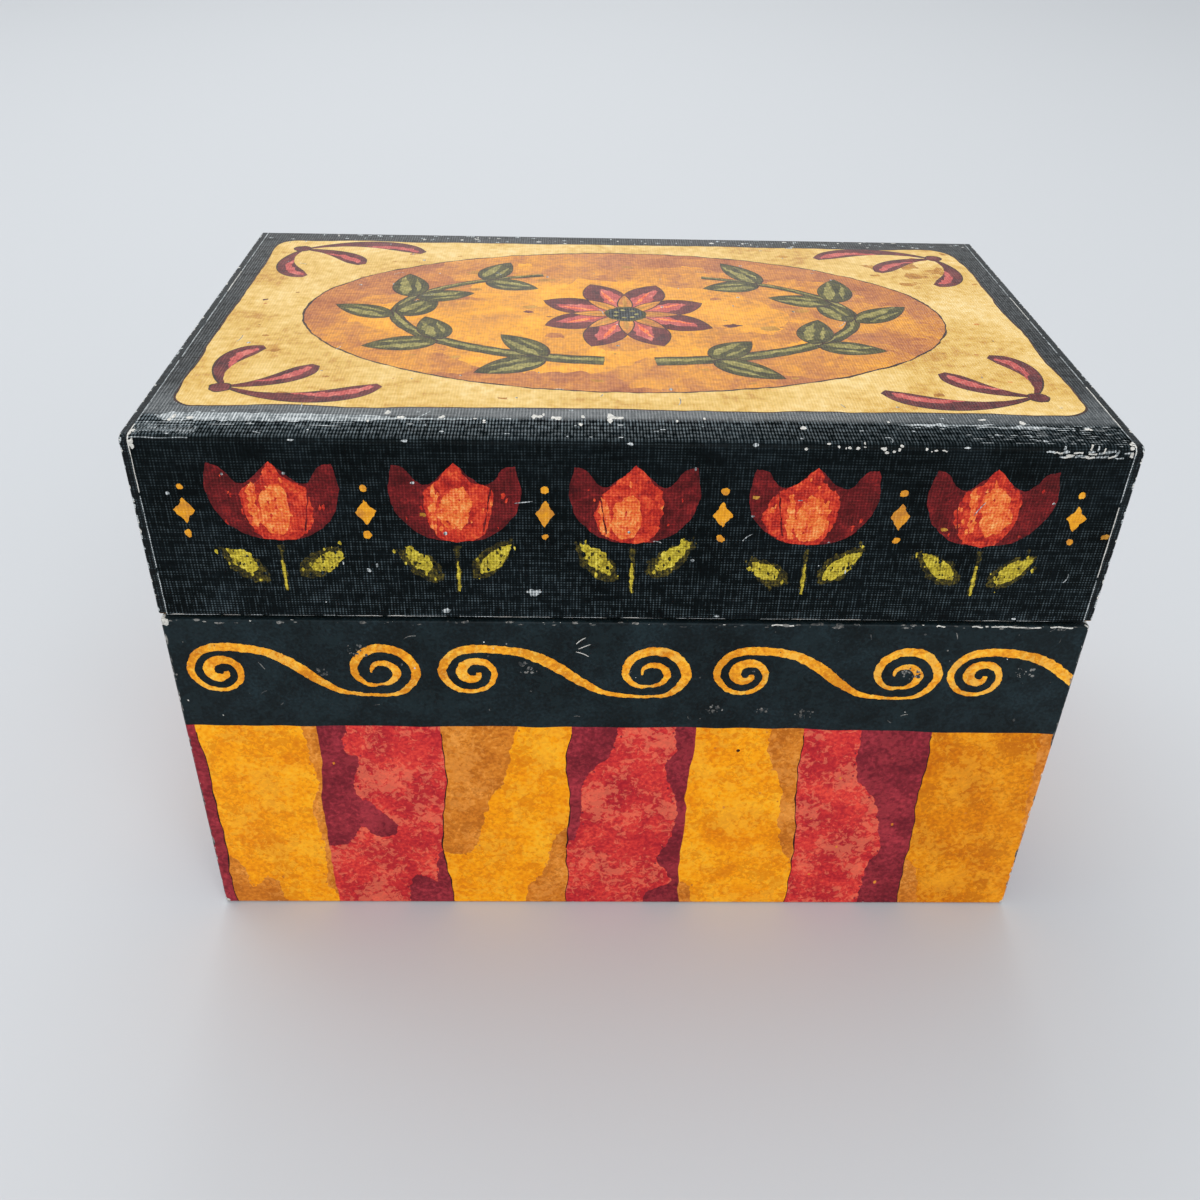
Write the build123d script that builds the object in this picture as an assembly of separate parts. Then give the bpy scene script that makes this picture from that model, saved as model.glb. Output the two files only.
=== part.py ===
from build123d import *
import math
import os

# Recipe card box: paper-covered board, hinged along the back by the lid's own cover.
# Millimetres. +Z is up, +X runs to the right, +Y to the back. The origin lies on the
# surface the box stands on, under the middle of its footprint.

# ---------------------------------------------------------------- driving dimensions
card_width = 127.0         # index card, the 5 inch side
card_height = 76.2         # index card, the 3 inch side
bundle_thickness = 6.6     # one bundle of cards, 22 of 0.3 mm
divider_sheet = 0.5        # thickness of a tabbed divider
tab_height = 9.5           # tab above the card's top edge
tab_width = 23.0           # tab, left to right
tab_margin = 2.0           # outermost tab to the divider's side
tab_round = 2.0            # tab's top corners
card_round = 1.0           # divider's lower corners
group_count = 5            # dividers, each with its bundle behind it
card_lean = 4.0            # degrees that the cards lean back

side_room = 3.09           # cards to the collar at each end
head_room = 1.9            # tabs to the lining of the lid's top
filing_depth = 82.87       # front collar to the back lining
soft_gap = 0.3             # cards to the floor and to the back lining
group_gap = 0.4            # one group of cards to the next
sheet_gap = 0.05           # divider to its own bundle

lid_height = 29.5          # outside, lid's lower edge to its top
seam_gap = 0.75            # shadow gap between the base's rim and the lid's lower edge
lid_board = 1.5            # thickness of the lid's board
wrap = 0.2                 # thickness of the covering papers
lining = 0.2               # thickness of the lining papers
edge_round = 1.0           # outer radius of the lid's front and back top edges
corner_round = 0.5         # softening of the upright corners under the paper
corner_lip = 1.2           # how far the end papers show round each corner
turn_under = 12.0          # width of the base papers turned in under the bottom
bottom_paper_margin = 3.0  # bottom paper to the box's outside
tail_drop = 14.0           # length of the lid cover pasted down the base's back
stay_width = 12.0          # width of each leg of a corner stay
stay_paper = 0.12          # thickness of the gummed stay, pressed into the board

collar_board = 1.0         # thickness of the collar inside the base
collar_rise = 7.0          # height of the collar above the base's rim
collar_end_round = 6.0     # rounding of the side collars' rear top corners
swing_clearance = 0.2      # lid's lining to the collar where the lid swings past it

hair = 0.01                # two places closer than this are the same place
overrun = 1.0              # how far a cut runs past the piece that it opens

# ---------------------------------------------------------------- derived places
lid_skin = wrap + lid_board                   # outside to the lid board's inner face
lid_inner = lid_skin + lining                 # outside to the lid's lined inner face

# The lid's lined front wall swings about the hinge line, so its lower edge moves back
# as it rises past the collar's top. The base's board is thicker than the lid's by that
# and a clearance, so the collar stands against it and still clears. The swing is taken
# about the inside's depth, a little less than its true radius, which errs to the safe side.
inner_depth = collar_board + filing_depth + lining
collar_reach = collar_rise + seam_gap / 2
swing_back = inner_depth - math.sqrt(inner_depth ** 2 - collar_reach ** 2)
base_board = lid_board + lining + swing_back + swing_clearance

base_inner = wrap + base_board                # outside to the base board's inner face
inner_half_width = card_width / 2 + side_room + collar_board
inner_half_depth = inner_depth / 2
half_width = inner_half_width + base_inner
half_depth = inner_half_depth + base_inner
box_width = 2 * half_width
box_depth = 2 * half_depth

board_low = 2 * wrap                          # boards stand on the turned-in papers
floor_low = board_low + base_board            # top of the bottom board
floor = floor_low + lining                    # top of the floor lining
card_floor = floor + soft_gap
lean = math.radians(card_lean)
tab_top = card_floor + (card_height + tab_height) * math.cos(lean)
box_height = tab_top + head_room + lid_inner
lid_low = box_height - lid_height             # lid's lower edge
rim = lid_low - seam_gap                      # base's rim
hinge_height = lid_low - seam_gap / 2         # hinge line, on the outer back face
collar_top = rim + collar_rise

sheet_depth = divider_sheet / math.cos(lean)  # divider's thickness along the floor
group_depth = sheet_depth + sheet_gap + bundle_thickness
back_face = inner_half_depth - lining
pack_back = back_face - soft_gap - card_height * math.sin(lean)
tab_pitch = (card_width - 2 * tab_margin - tab_width) / (group_count - 1)


# ---------------------------------------------------------------- shared shapes
def block(x_range, y_range, z_range):
    """A rectangular solid between two x, two y and two z values."""
    size = [high - low for low, high in (x_range, y_range, z_range)]
    corner = [low for low, high in (x_range, y_range, z_range)]
    return Pos(*corner) * Box(*size, align=(Align.MIN, Align.MIN, Align.MIN))


def mirrored(solid):
    """The same piece at the other end of the box."""
    return mirror(solid, about=Plane.YZ)


def lid_section(inset, low):
    """The lid's cross-section, front to back, that far inside its outer face."""
    high = box_height - inset
    outline = Pos(0, (low + high) / 2) * Rectangle(box_depth - 2 * inset, high - low)
    rounding = edge_round - inset
    if rounding > hair:
        outline = fillet(outline.vertices().group_by(Axis.Y)[-1], rounding)
    return outline


def lid_run(inset, low, x_range):
    """The lid's cross-section run along the box between two x values."""
    start, end = x_range
    return extrude(Plane.YZ.offset(start) * lid_section(inset, low), amount=end - start)


def lid_layer(outer, inner, low, x_range):
    """One layer of the lid's front, top and back, between two depths."""
    return lid_run(outer, low, x_range) - lid_run(inner, low - overrun, x_range)


def outer_corners(solid):
    """The upright edges at the box's outer corners, which the paper softens."""
    found = []
    for edge in solid.edges().filter_by(Axis.Z):
        middle = edge.center()
        at_end = abs(abs(middle.X) - half_width) < hair
        at_face = abs(abs(middle.Y) - half_depth) < hair
        if at_end and at_face:
            found.append(edge)
    return found


def save(solid, name):
    solid.label = name
    export_step(solid, f"parts/{name}.step")


def corner_stay(x_side, y_side, z_range):
    """Gummed paper folded round one upright corner of a board box."""
    x_out = half_width - wrap
    y_out = half_depth - wrap
    along = block((x_out - stay_width, x_out), (y_out - stay_paper, y_out), z_range)
    across = block((x_out - stay_paper, x_out), (y_out - stay_width, y_out), z_range)
    stay = along + across
    if x_side < 0:
        stay = mirror(stay, about=Plane.YZ)
    if y_side < 0:
        stay = mirror(stay, about=Plane.XZ)
    return stay


def corner_stays(z_range):
    return [corner_stay(x, y, z_range) for x in (-1, 1) for y in (-1, 1)]


def less(solid, cutters):
    for cutter in cutters:
        solid = solid - cutter
    return solid


# ---------------------------------------------------------------- base: boards
def make_base_boards():
    """Bottom and four walls of greyboard; the ends stand between front and back."""
    walls = (board_low, rim - wrap)
    stays = corner_stays((board_low, rim - wrap))
    long_x = (wrap - half_width, half_width - wrap)
    front_y = (wrap - half_depth, -inner_half_depth)
    back_y = (inner_half_depth, half_depth - wrap)
    end_x = (wrap - half_width, -inner_half_width)
    inner_x = (-inner_half_width, inner_half_width)
    inner_y = (-inner_half_depth, inner_half_depth)
    left_end = less(block(end_x, inner_y, walls), stays)
    save(less(block(long_x, front_y, walls), stays), "base_front_board")
    save(less(block(long_x, back_y, walls), stays), "base_back_board")
    save(left_end, "base_left_board")
    save(mirrored(left_end), "base_right_board")
    save(block(inner_x, inner_y, (board_low, floor_low)), "base_bottom_board")
    save(Compound(children=stays), "base_corner_stays")


# ---------------------------------------------------------------- base: papers
def paper_box():
    """All the paper round the base: outer face, turned-over rim, turned-in bottom."""
    outer_x = (-half_width, half_width)
    outer_y = (-half_depth, half_depth)
    board_x = (wrap - half_width, half_width - wrap)
    board_y = (wrap - half_depth, half_depth - wrap)
    inner_x = (-inner_half_width, inner_half_width)
    inner_y = (-inner_half_depth, inner_half_depth)
    open_x = (turn_under - half_width, half_width - turn_under)
    open_y = (turn_under - half_depth, half_depth - turn_under)
    paper = block(outer_x, outer_y, (wrap, rim))
    paper = paper - block(board_x, board_y, (board_low, rim - wrap))
    paper = paper - block(inner_x, inner_y, (rim - wrap, rim))
    return paper - block(open_x, open_y, (wrap, board_low))


def make_base_papers():
    """Printed front-and-ends wrap, back sheet below the hinge tail, bottom sheet."""
    back_x = (corner_lip - half_width, half_width - corner_lip)
    back_zone = block(back_x, (half_depth - wrap, half_depth), (wrap, rim))
    turned_back = block(back_x, (half_depth - turn_under, half_depth), (wrap, board_low))
    rim_back_x = (-inner_half_width, inner_half_width)
    rim_back = block(rim_back_x, (inner_half_depth, half_depth), (rim - wrap, rim))
    wrap_around = less(paper_box(), [back_zone, turned_back, rim_back])
    wrap_around = fillet(outer_corners(wrap_around), corner_round)
    save(wrap_around, "base_wrap")

    tail_low = hinge_height - tail_drop
    back_y = (half_depth - wrap, half_depth)
    back_sheet = block(back_x, back_y, (wrap, tail_low)) + turned_back
    save(back_sheet, "base_back_paper")
    save(block(back_x, back_y, (tail_low, hinge_height)), "hinge_tail")

    bottom_x = half_width - bottom_paper_margin
    bottom_y = half_depth - bottom_paper_margin
    save(block((-bottom_x, bottom_x), (-bottom_y, bottom_y), (0, wrap)), "base_bottom_paper")


def make_base_linings():
    """Floor sheet, and a back sheet that turns over the back board's rim."""
    inner_x = (-inner_half_width, inner_half_width)
    save(block(inner_x, (-inner_half_depth, inner_half_depth), (floor_low, floor)), "floor_lining")

    between_collars = inner_half_width - collar_board
    wall_x = (-between_collars, between_collars)
    wall = block(wall_x, (back_face, inner_half_depth), (floor, rim))
    over_rim = block(wall_x, (back_face, half_depth - wrap), (rim - wrap, rim))
    rim_ends = block(inner_x, (inner_half_depth, half_depth - wrap), (rim - wrap, rim))
    save(wall + over_rim + rim_ends, "back_lining")


def make_collar():
    """Three boards that line the base and stand above its rim to locate the lid."""
    height = (floor, collar_top)
    inner_x = (-inner_half_width, inner_half_width)
    front = block(inner_x, (-inner_half_depth, collar_board - inner_half_depth), height)
    save(front, "collar_front")

    side_x = (-inner_half_width, collar_board - inner_half_width)
    side = block(side_x, (collar_board - inner_half_depth, back_face), height)
    rear_top = side.edges().filter_by(Axis.X).group_by(Axis.Z)[-1].sort_by(Axis.Y)[-1]
    side = fillet(rear_top, collar_end_round)
    save(side, "collar_left")
    save(mirrored(side), "collar_right")


# ---------------------------------------------------------------- lid
def make_lid_boards():
    """Front and back boards with rounded top edges, a flat top between, two ends."""
    low = lid_low + wrap
    long_x = (wrap - half_width, half_width - wrap)
    layer = lid_layer(wrap, lid_skin, low, long_x)
    joint_line = half_depth - lid_skin
    room_z = (lid_low, box_height)
    front_zone = block(long_x, (-half_depth, -joint_line), room_z)
    back_zone = block(long_x, (joint_line, half_depth), room_z)
    stays = corner_stays((low, box_height - lid_skin))
    save(less(layer & front_zone, stays), "lid_front_board")
    save(less(layer & back_zone, stays), "lid_back_board")
    save(layer - front_zone - back_zone, "lid_top_board")

    end = lid_run(lid_skin, low, (wrap - half_width, lid_skin - half_width))
    end = less(end, stays)
    save(end, "lid_left_board")
    save(mirrored(end), "lid_right_board")
    save(Compound(children=stays), "lid_corner_stays")


def make_lid_papers():
    """Embossed cover over front, top and back, and two end papers under its edges."""
    cover_x = (corner_lip - half_width, half_width - corner_lip)
    turned_x = (lid_inner - half_width, half_width - lid_inner)
    turned_z = (lid_low, lid_low + wrap)
    back_y = (half_depth - wrap, half_depth)
    cover = lid_layer(0, wrap, lid_low, cover_x)
    cover = cover + block(turned_x, (-half_depth, lid_inner - half_depth), turned_z)
    cover = cover + block(cover_x, back_y, (hinge_height, lid_low))
    save(cover, "lid_cover")

    end = lid_run(0, lid_low, (-half_width, wrap - half_width))
    lip = lid_layer(0, wrap, lid_low, (wrap - half_width, corner_lip - half_width))
    turned_end_x = (wrap - half_width, lid_inner - half_width)
    turned = block(turned_end_x, (wrap - half_depth, half_depth - wrap), turned_z)
    end = end + lip + turned
    end = fillet(outer_corners(end), corner_round)
    save(end, "lid_left_paper")
    save(mirrored(end), "lid_right_paper")


def make_lid_linings():
    """Lining strip inside front, top and back, and a lining on each end."""
    low = lid_low + wrap
    strip_x = (lid_skin - half_width, half_width - lid_skin)
    strip = lid_layer(lid_skin, lid_inner, low, strip_x)
    under_back_x = (lid_inner - half_width, half_width - lid_inner)
    under_back_y = (half_depth - lid_inner, half_depth - wrap)
    strip = strip + block(under_back_x, under_back_y, (lid_low, low))
    save(strip, "lid_lining")

    end = lid_run(lid_inner, low, (lid_skin - half_width, lid_inner - half_width))
    save(end, "lid_left_lining")
    save(mirrored(end), "lid_right_lining")


# ---------------------------------------------------------------- cards and dividers
def make_divider(number, front):
    """A card with a tab, leaning back; its front foot lies on the line it tips about."""
    half_card = card_width / 2
    sheet = Pos(0, card_height / 2) * Rectangle(card_width, card_height)
    sheet = fillet(sheet.vertices().group_by(Axis.Y)[0], card_round)
    tab_left = tab_margin - half_card + number * tab_pitch
    tab_low = card_height - tab_height
    tab = Pos(tab_left + tab_width / 2, card_height) * Rectangle(tab_width, 2 * tab_height)
    tab = fillet(tab.vertices().group_by(Axis.Y)[-1], tab_round)
    upright = extrude(Plane.XZ * (sheet + tab), amount=-divider_sheet)
    return Pos(0, front, card_floor) * Rot(-card_lean, 0, 0) * upright


def make_bundle(front):
    """A bundle of cards, each standing on the floor, so its foot and head are level."""
    low = front + sheet_depth + sheet_gap
    shift = card_height * math.sin(lean)
    top = card_floor + card_height * math.cos(lean)
    corners = [
        (low, card_floor),
        (low + bundle_thickness, card_floor),
        (low + bundle_thickness + shift, top),
        (low + shift, top),
    ]
    outline = make_face(Polyline(*corners, close=True))
    return extrude(Plane.YZ.offset(-card_width / 2) * outline, amount=card_width)


def make_groups():
    """Groups numbered from the front; the rearmost leans on the back lining."""
    for number in range(group_count):
        behind = group_count - number
        front = pack_back - behind * group_depth - (behind - 1) * group_gap
        save(make_divider(number, front), f"divider_{number + 1}")
        save(make_bundle(front), f"cards_{number + 1}")
        print(f"group {number + 1} tips about y {front:.3f}, z {card_floor:.3f}")


os.makedirs("parts", exist_ok=True)
make_base_boards()
make_base_papers()
make_base_linings()
make_collar()
make_lid_boards()
make_lid_papers()
make_lid_linings()
make_groups()
print(f"outside {box_width:.3f} x {box_depth:.3f} x {box_height:.3f}")
print(f"hinge line y {half_depth:.3f}, z {hinge_height:.3f}")
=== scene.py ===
import math
import random

import bpy
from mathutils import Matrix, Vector, noise
from mathutils.geometry import delaunay_2d_cdt, intersect_line_line_2d


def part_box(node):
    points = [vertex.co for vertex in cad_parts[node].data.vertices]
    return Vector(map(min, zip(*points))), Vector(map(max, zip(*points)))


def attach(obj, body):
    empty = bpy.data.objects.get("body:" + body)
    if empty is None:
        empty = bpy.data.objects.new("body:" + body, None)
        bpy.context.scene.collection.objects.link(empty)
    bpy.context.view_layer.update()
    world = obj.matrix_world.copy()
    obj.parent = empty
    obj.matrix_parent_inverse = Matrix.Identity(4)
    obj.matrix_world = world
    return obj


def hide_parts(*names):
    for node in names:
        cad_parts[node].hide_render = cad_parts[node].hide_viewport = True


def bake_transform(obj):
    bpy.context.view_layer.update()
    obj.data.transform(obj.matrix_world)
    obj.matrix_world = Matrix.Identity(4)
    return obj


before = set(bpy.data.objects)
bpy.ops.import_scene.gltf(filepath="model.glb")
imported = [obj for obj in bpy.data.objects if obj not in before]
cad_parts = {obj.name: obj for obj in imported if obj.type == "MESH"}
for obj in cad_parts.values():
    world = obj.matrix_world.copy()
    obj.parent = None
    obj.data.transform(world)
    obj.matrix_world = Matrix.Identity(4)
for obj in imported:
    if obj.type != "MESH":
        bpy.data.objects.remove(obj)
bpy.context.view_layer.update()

# ---------------------------------------------------------------- greyboard
# The walls, bottom and lid panels are cut from greyboard, which is pressed from waste
# paper, and glued edge to edge. It is bare only where the papers over it have torn.

MM = 0.001                     # everything below is in millimetres, Blender is in metres


def linear(colour):
    """An sRGB hex colour as the linear RGBA that shaders work in."""
    channels = [int(colour[i:i + 2], 16) / 255 for i in (1, 3, 5)]
    return [c / 12.92 if c <= 0.04045 else ((c + 0.055) / 1.055) ** 2.4 for c in channels] + [1]


def add(tree, kind, settings, inputs):
    """Add a node with its settings; an input takes a value, a hex colour, a socket to
    link or a node, for its first output."""
    node = tree.nodes.new("ShaderNode" + kind)
    for name, value in settings.items():
        if name == "stops":
            while len(node.color_ramp.elements) < len(value):
                node.color_ramp.elements.new(0.5)
            for element, (position, colour) in zip(node.color_ramp.elements, value):
                element.position = position
                element.color = linear(colour)
        else:
            setattr(node, name, value)
    for name, value in inputs.items():
        if isinstance(value, bpy.types.Node):
            value = value.outputs[0]
        if isinstance(value, bpy.types.NodeSocket):
            tree.links.new(value, node.inputs[name])
        else:
            node.inputs[name].default_value = linear(value) if isinstance(value, str) else value
    return node


def new_material(name):
    """An empty node material."""
    made = bpy.data.materials.new(name)
    made.use_nodes = True
    made.node_tree.nodes.clear()
    return made, made.node_tree


def solid_place(tree):
    """Where a point of a solid is, in mm."""
    place = add(tree, "TexCoord", {}, {})
    return add(tree, "VectorMath", {"operation": "SCALE"},
               {0: place.outputs["Object"], "Scale": 1 / MM})


def close_paper(tree, colour, roughness, height, relief, gloss=0.3):
    """The paper's shader: a rough dielectric, with a relief that is that many mm deep.
    Fibres break up its surface, so it reflects less than a solid of its IOR."""
    bump = add(tree, "Bump", {}, {"Height": height, "Distance": relief * MM})
    shader = add(tree, "BsdfPrincipled", {}, {
        "Base Color": colour, "Roughness": roughness, "IOR": 1.5,
        "Specular IOR Level": gloss, "Normal": bump,
    })
    add(tree, "OutputMaterial", {}, {"Surface": shader})


def make_greyboard():
    """Greyboard, pressed from waste paper: grey-brown felt with dark and pale fibres."""
    made, tree = new_material("greyboard_pressed")
    place = solid_place(tree)
    felt = add(tree, "TexNoise", {}, {"Vector": place, "Scale": 0.35, "Detail": 4.0})
    fibre = add(tree, "TexNoise", {}, {"Vector": place, "Scale": 2.8, "Detail": 3.0,
                                       "Distortion": 2.0})
    mix = add(tree, "Math", {"operation": "MULTIPLY_ADD"}, {0: fibre, 1: 0.6, 2: 0.0})
    both = add(tree, "Math", {"operation": "MULTIPLY_ADD"}, {0: felt, 1: 0.4, 2: mix})
    colour = add(tree, "ValToRGB", {"stops": [
        (0.34, "#5d5852"), (0.44, "#8b857a"), (0.56, "#9d968a"), (0.66, "#c8c1b2"),
    ]}, {0: both})
    close_paper(tree, colour, 0.9, both, 0.15)
    return made


def dress(nodes, material):
    """Give CAD nodes a finish of their own."""
    for name in nodes:
        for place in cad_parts[name].material_slots:
            place.material = material


boards = [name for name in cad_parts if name.endswith("_board")]
dress(boards, make_greyboard())

# ---------------------------------------------------------------- corner stays
# Gummed kraft paper, folded round each upright corner of the board boxes and rubbed
# down wet. The covering papers hide it.


def make_gummed_kraft():
    """Gummed kraft: brown long-fibred paper with a faint machine-direction streak."""
    made, tree = new_material("kraft_gummed")
    place = solid_place(tree)
    along = add(tree, "VectorMath", {"operation": "MULTIPLY"}, {0: place, 1: (1.4, 1.4, 0.2)})
    streak = add(tree, "TexNoise", {}, {"Vector": along, "Scale": 1.2, "Detail": 5.0})
    colour = add(tree, "ValToRGB", {"stops": [
        (0.3, "#8a6236"), (0.5, "#a67c4a"), (0.7, "#b98f5c"),
    ]}, {0: streak})
    close_paper(tree, colour, 0.75, streak, 0.05)
    return made


dress(["base_corner_stays", "lid_corner_stays"], make_gummed_kraft())

# ---------------------------------------------------------------- base wrap
# One smooth sheet of offset-printed paper round the front and the ends, turned over the
# rim and in under the bottom, with a narrow lip round each back corner: a dark band
# with running scrolls, over painted stripes.

wrap_low, wrap_high = [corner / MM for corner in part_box("base_wrap")]
half_width = wrap_high.x
half_depth = wrap_high.y
rim = wrap_high.z
sheet_foot = wrap_low.z        # the wrap's turned-in papers rest on the bottom sheet
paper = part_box("base_bottom_paper")[1].z / MM
board_gauge = -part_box("base_front_board")[0].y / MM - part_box("floor_lining")[1].y / MM
lip = half_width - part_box("lid_cover")[1].x / MM
turned_in = 12.0               # papers folded in under the bottom
corner_bend = 0.5              # paper's bend round an upright corner
edge_bend = 0.35               # paper's bend over the rim and the bottom edge
quarter = math.pi / 2
beyond = 400                   # fold lines end past every sheet's edge


def walk(path, distance, depth):
    """The point that far along a path of runs and left turns, and that deep inside it."""
    place, heading, steps = path
    left = distance
    for number, (length, turn) in enumerate(steps):
        last = number == len(steps) - 1
        part = left if last else min(left, length)
        ahead = Vector((math.cos(heading), math.sin(heading)))
        inward = Vector((-ahead.y, ahead.x))
        if turn:
            radius = length / turn
            angle = part / radius
            place = place + inward * radius
            heading += angle
            inward = Vector((-math.sin(heading), math.cos(heading)))
            place = place - inward * radius
        else:
            place = place + ahead * part
        left -= part
        if left <= 0:
            break
    return place + inward * depth


def bent_at(path):
    """Distances along a path at which a bend starts, passes and ends."""
    marks, start = [], 0.0
    for length, turn in path[2]:
        if turn:
            cuts = max(4, round(length / 0.45))
            marks += [start + length * cut / cuts for cut in range(cuts + 1)]
        start += length
    return marks


def through(keys, step):
    """A smooth line through given points, with a point about every step."""
    line = []
    for number in range(len(keys) - 1):
        a, b = keys[max(number - 1, 0)], keys[number]
        c, d = keys[number + 1], keys[min(number + 2, len(keys) - 1)]
        cuts = max(2, round((c - b).xy.length / step))
        for cut in range(cuts):
            t = cut / cuts
            line.append(0.5 * (2 * b + (c - a) * t + (2 * a - 5 * b + 4 * c - d) * t ** 2
                               + (3 * b - a - 3 * c + d) * t ** 3))
    return line + [keys[-1]]


def crossed(ring):
    """Whether the ring crosses itself."""
    sides = list(zip(ring, ring[1:] + ring[:1]))
    for number, (a, b) in enumerate(sides):
        for c, d in sides[number + 2:]:
            if d is not a and intersect_line_line_2d(a, b, c, d) is not None:
                return True
    return False


noise.seed_set(7)              # unseeded, noise_vector takes its offsets from the clock


def ragged(ring, grain, bite, seed):
    """The ring with the uneven edge of a loaded brush or of torn paper. The bite is
    made smaller until the ring doesn't cross itself."""
    while bite > 0.02:
        edge = []
        for point, following in zip(ring, ring[1:] + ring[:1]):
            cuts = max(1, round((following - point).length / grain))
            for cut in range(cuts):
                here = point.lerp(following, cut / cuts)
                coarse = noise.noise_vector(Vector((here.x, here.y, seed)) / (4 * grain))
                fine = noise.noise_vector(Vector((here.x, here.y, seed + 50)) / grain)
                edge.append(here + bite * (coarse + 0.6 * fine).xy)
        if not crossed(edge):
            return edge
        bite *= 0.6
    return list(ring)


def brushed(line):
    """The outline of a stroke along a line of points that carry x, y and its width."""
    left, right = [], []
    for number, point in enumerate(line):
        before = line[max(number - 1, 0)]
        after = line[min(number + 1, len(line) - 1)]
        ahead = (after - before).xy.normalized()
        across = Vector((-ahead.y, ahead.x)) * point.z / 2
        left.append(point.xy + across)
        right.append(point.xy - across)
    return left + right[::-1]


def renumbered(count, areas):
    """Areas numbered from there on, so that those that stay in another still do."""
    return [(ink, ring, None if within is None else count + within) for ink, ring, within in areas]


def speck(x, y, wide, high, seed):
    """A small torn or rubbed spot."""
    ring = []
    for corner in range(10):
        angle = corner * math.tau / 10
        reach = 1 + 0.45 * noise.noise(Vector((x, y, seed + corner * 1.7)))
        ring.append(Vector((x + wide / 2 * reach * math.cos(angle),
                            y + high / 2 * reach * math.sin(angle))))
    return ring


def oval(x, y, wide, high):
    """A ring of points round an oval with those half-sizes."""
    return [Vector((x + wide * math.cos(turn * math.tau / 72),
                    y + high * math.sin(turn * math.tau / 72))) for turn in range(72)]


def wound_left(ring):
    """The ring in the order that keeps its inside on the left."""
    turn = sum(a.x * b.y - b.x * a.y for a, b in zip(ring, ring[1:] + ring[:1]))
    return ring if turn > 0 else ring[::-1]


def make_sheet(name, outline, areas, folds, place, inks):
    """A printed sheet as a closed thin solid.

    The outline and the areas are flat, in mm. An area is an ink's number, its ring, and
    the number of the area that it stays in, or None. A later area lies on an earlier
    one. place(x, y, depth) is where a point of the sheet goes when it is folded on.
    """
    rings = [wound_left(outline)] + [wound_left(ring) for ink, ring, within in areas]
    points, loops, edges = [], [], []
    for ring in rings:
        loops.append(list(range(len(points), len(points) + len(ring))))
        points += [Vector(point) for point in ring]
    for start, end in folds:
        edges.append((len(points), len(points) + 1))
        points += [Vector(start), Vector(end)]
    flat, _, cells, _, _, owners = delaunay_2d_cdt(points, edges, loops, 1, 1e-5, True)

    used, faces, tints = {}, [], []
    for cell, owner in zip(cells, owners):
        if 0 not in owner:
            continue
        ink = 0
        for number in sorted(owner, reverse=True):
            if number and (areas[number - 1][2] is None or areas[number - 1][2] + 1 in owner):
                ink = areas[number - 1][0]
                break
        faces.append([used.setdefault(corner, len(used)) for corner in cell])
        tints.append(ink)
    kept = [flat[corner] for corner in used]
    count = len(kept)
    borders = {}
    for face in faces:
        for a, b in zip(face, face[1:] + face[:1]):
            if borders.pop((b, a), None) is None:
                borders[(a, b)] = True
    raw = len(inks) - 1
    under = [[corner + count for corner in reversed(face)] for face in faces]
    walls = [[b, a, a + count, b + count] for a, b in borders]
    mesh = bpy.data.meshes.new(name)
    places = [place(p.x, p.y, 0) * MM for p in kept] + [place(p.x, p.y, paper) * MM for p in kept]
    mesh.from_pydata(places, [], faces + under + walls)
    mesh.polygons.foreach_set("material_index", tints + [raw] * (len(under) + len(walls)))
    spot = mesh.attributes.new("flat", "FLOAT_VECTOR", "POINT")
    for number, p in enumerate(kept + kept):
        spot.data[number].vector = (p.x, p.y, 0)
    mesh.shade_smooth()
    mesh.set_sharp_from_angle(angle=math.radians(40))
    for ink in inks:
        mesh.materials.append(ink)
    sheet = bpy.data.objects.new(name, mesh)
    bpy.context.scene.collection.objects.link(sheet)
    return sheet


def sheet_place(tree):
    """Where a point of a sheet was before it was folded on, in mm."""
    return add(tree, "Attribute", {"attribute_name": "flat"}, {}).outputs["Vector"]


def spots(tree, place, size, amount, colour, spot_colour, most, seed):
    """Lay irregular spots of that size in mm over a colour, crowded in some places."""
    shifted = add(tree, "VectorMath", {"operation": "ADD"}, {0: place, 1: (seed, seed * 2, 0)})
    grain = add(tree, "TexNoise", {}, {"Vector": shifted, "Scale": 0.8 / size,
                                       "Detail": 4.0, "Roughness": 0.68, "Distortion": 0.8})
    patch = add(tree, "TexNoise", {}, {"Vector": shifted, "Scale": 0.13 / size, "Detail": 2.0})
    both = add(tree, "Math", {"operation": "MULTIPLY_ADD"}, {0: patch, 1: 0.7, 2: grain})
    where = add(tree, "MapRange", {}, {"Value": both, "From Min": 1.0 - amount,
                                       "From Max": 1.07 - amount, "To Min": 0.0, "To Max": most})
    laid = add(tree, "Mix", {"data_type": "RGBA"}, {"Factor": where, 6: colour, 7: spot_colour})
    return laid.outputs[2]


def washes(tree, place, tones, wash, grain, detail, speckle):
    """Watercolour tones, dark to light, that pool at one size in mm under grains of
    another; the nodes of the pools, the grains and the colour."""
    pools = add(tree, "TexNoise", {}, {"Vector": place, "Scale": 1 / wash, "Detail": 5.0,
                                       "Roughness": 0.62, "Distortion": 0.6})
    grains = add(tree, "TexNoise", {}, {"Vector": place, "Scale": 1 / grain, "Detail": detail})
    share = add(tree, "Math", {"operation": "MULTIPLY_ADD"},
                {0: grains, 1: speckle, 2: -speckle / 2})
    both = add(tree, "Math", {"operation": "ADD"}, {0: pools, 1: share})
    darkest, spread = 0.28, 0.44 / (len(tones) - 1)
    colour = add(tree, "ValToRGB", {"stops": [
        (darkest + spread * number, tone) for number, tone in enumerate(tones)
    ]}, {0: both})
    return pools, grains, colour


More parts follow.
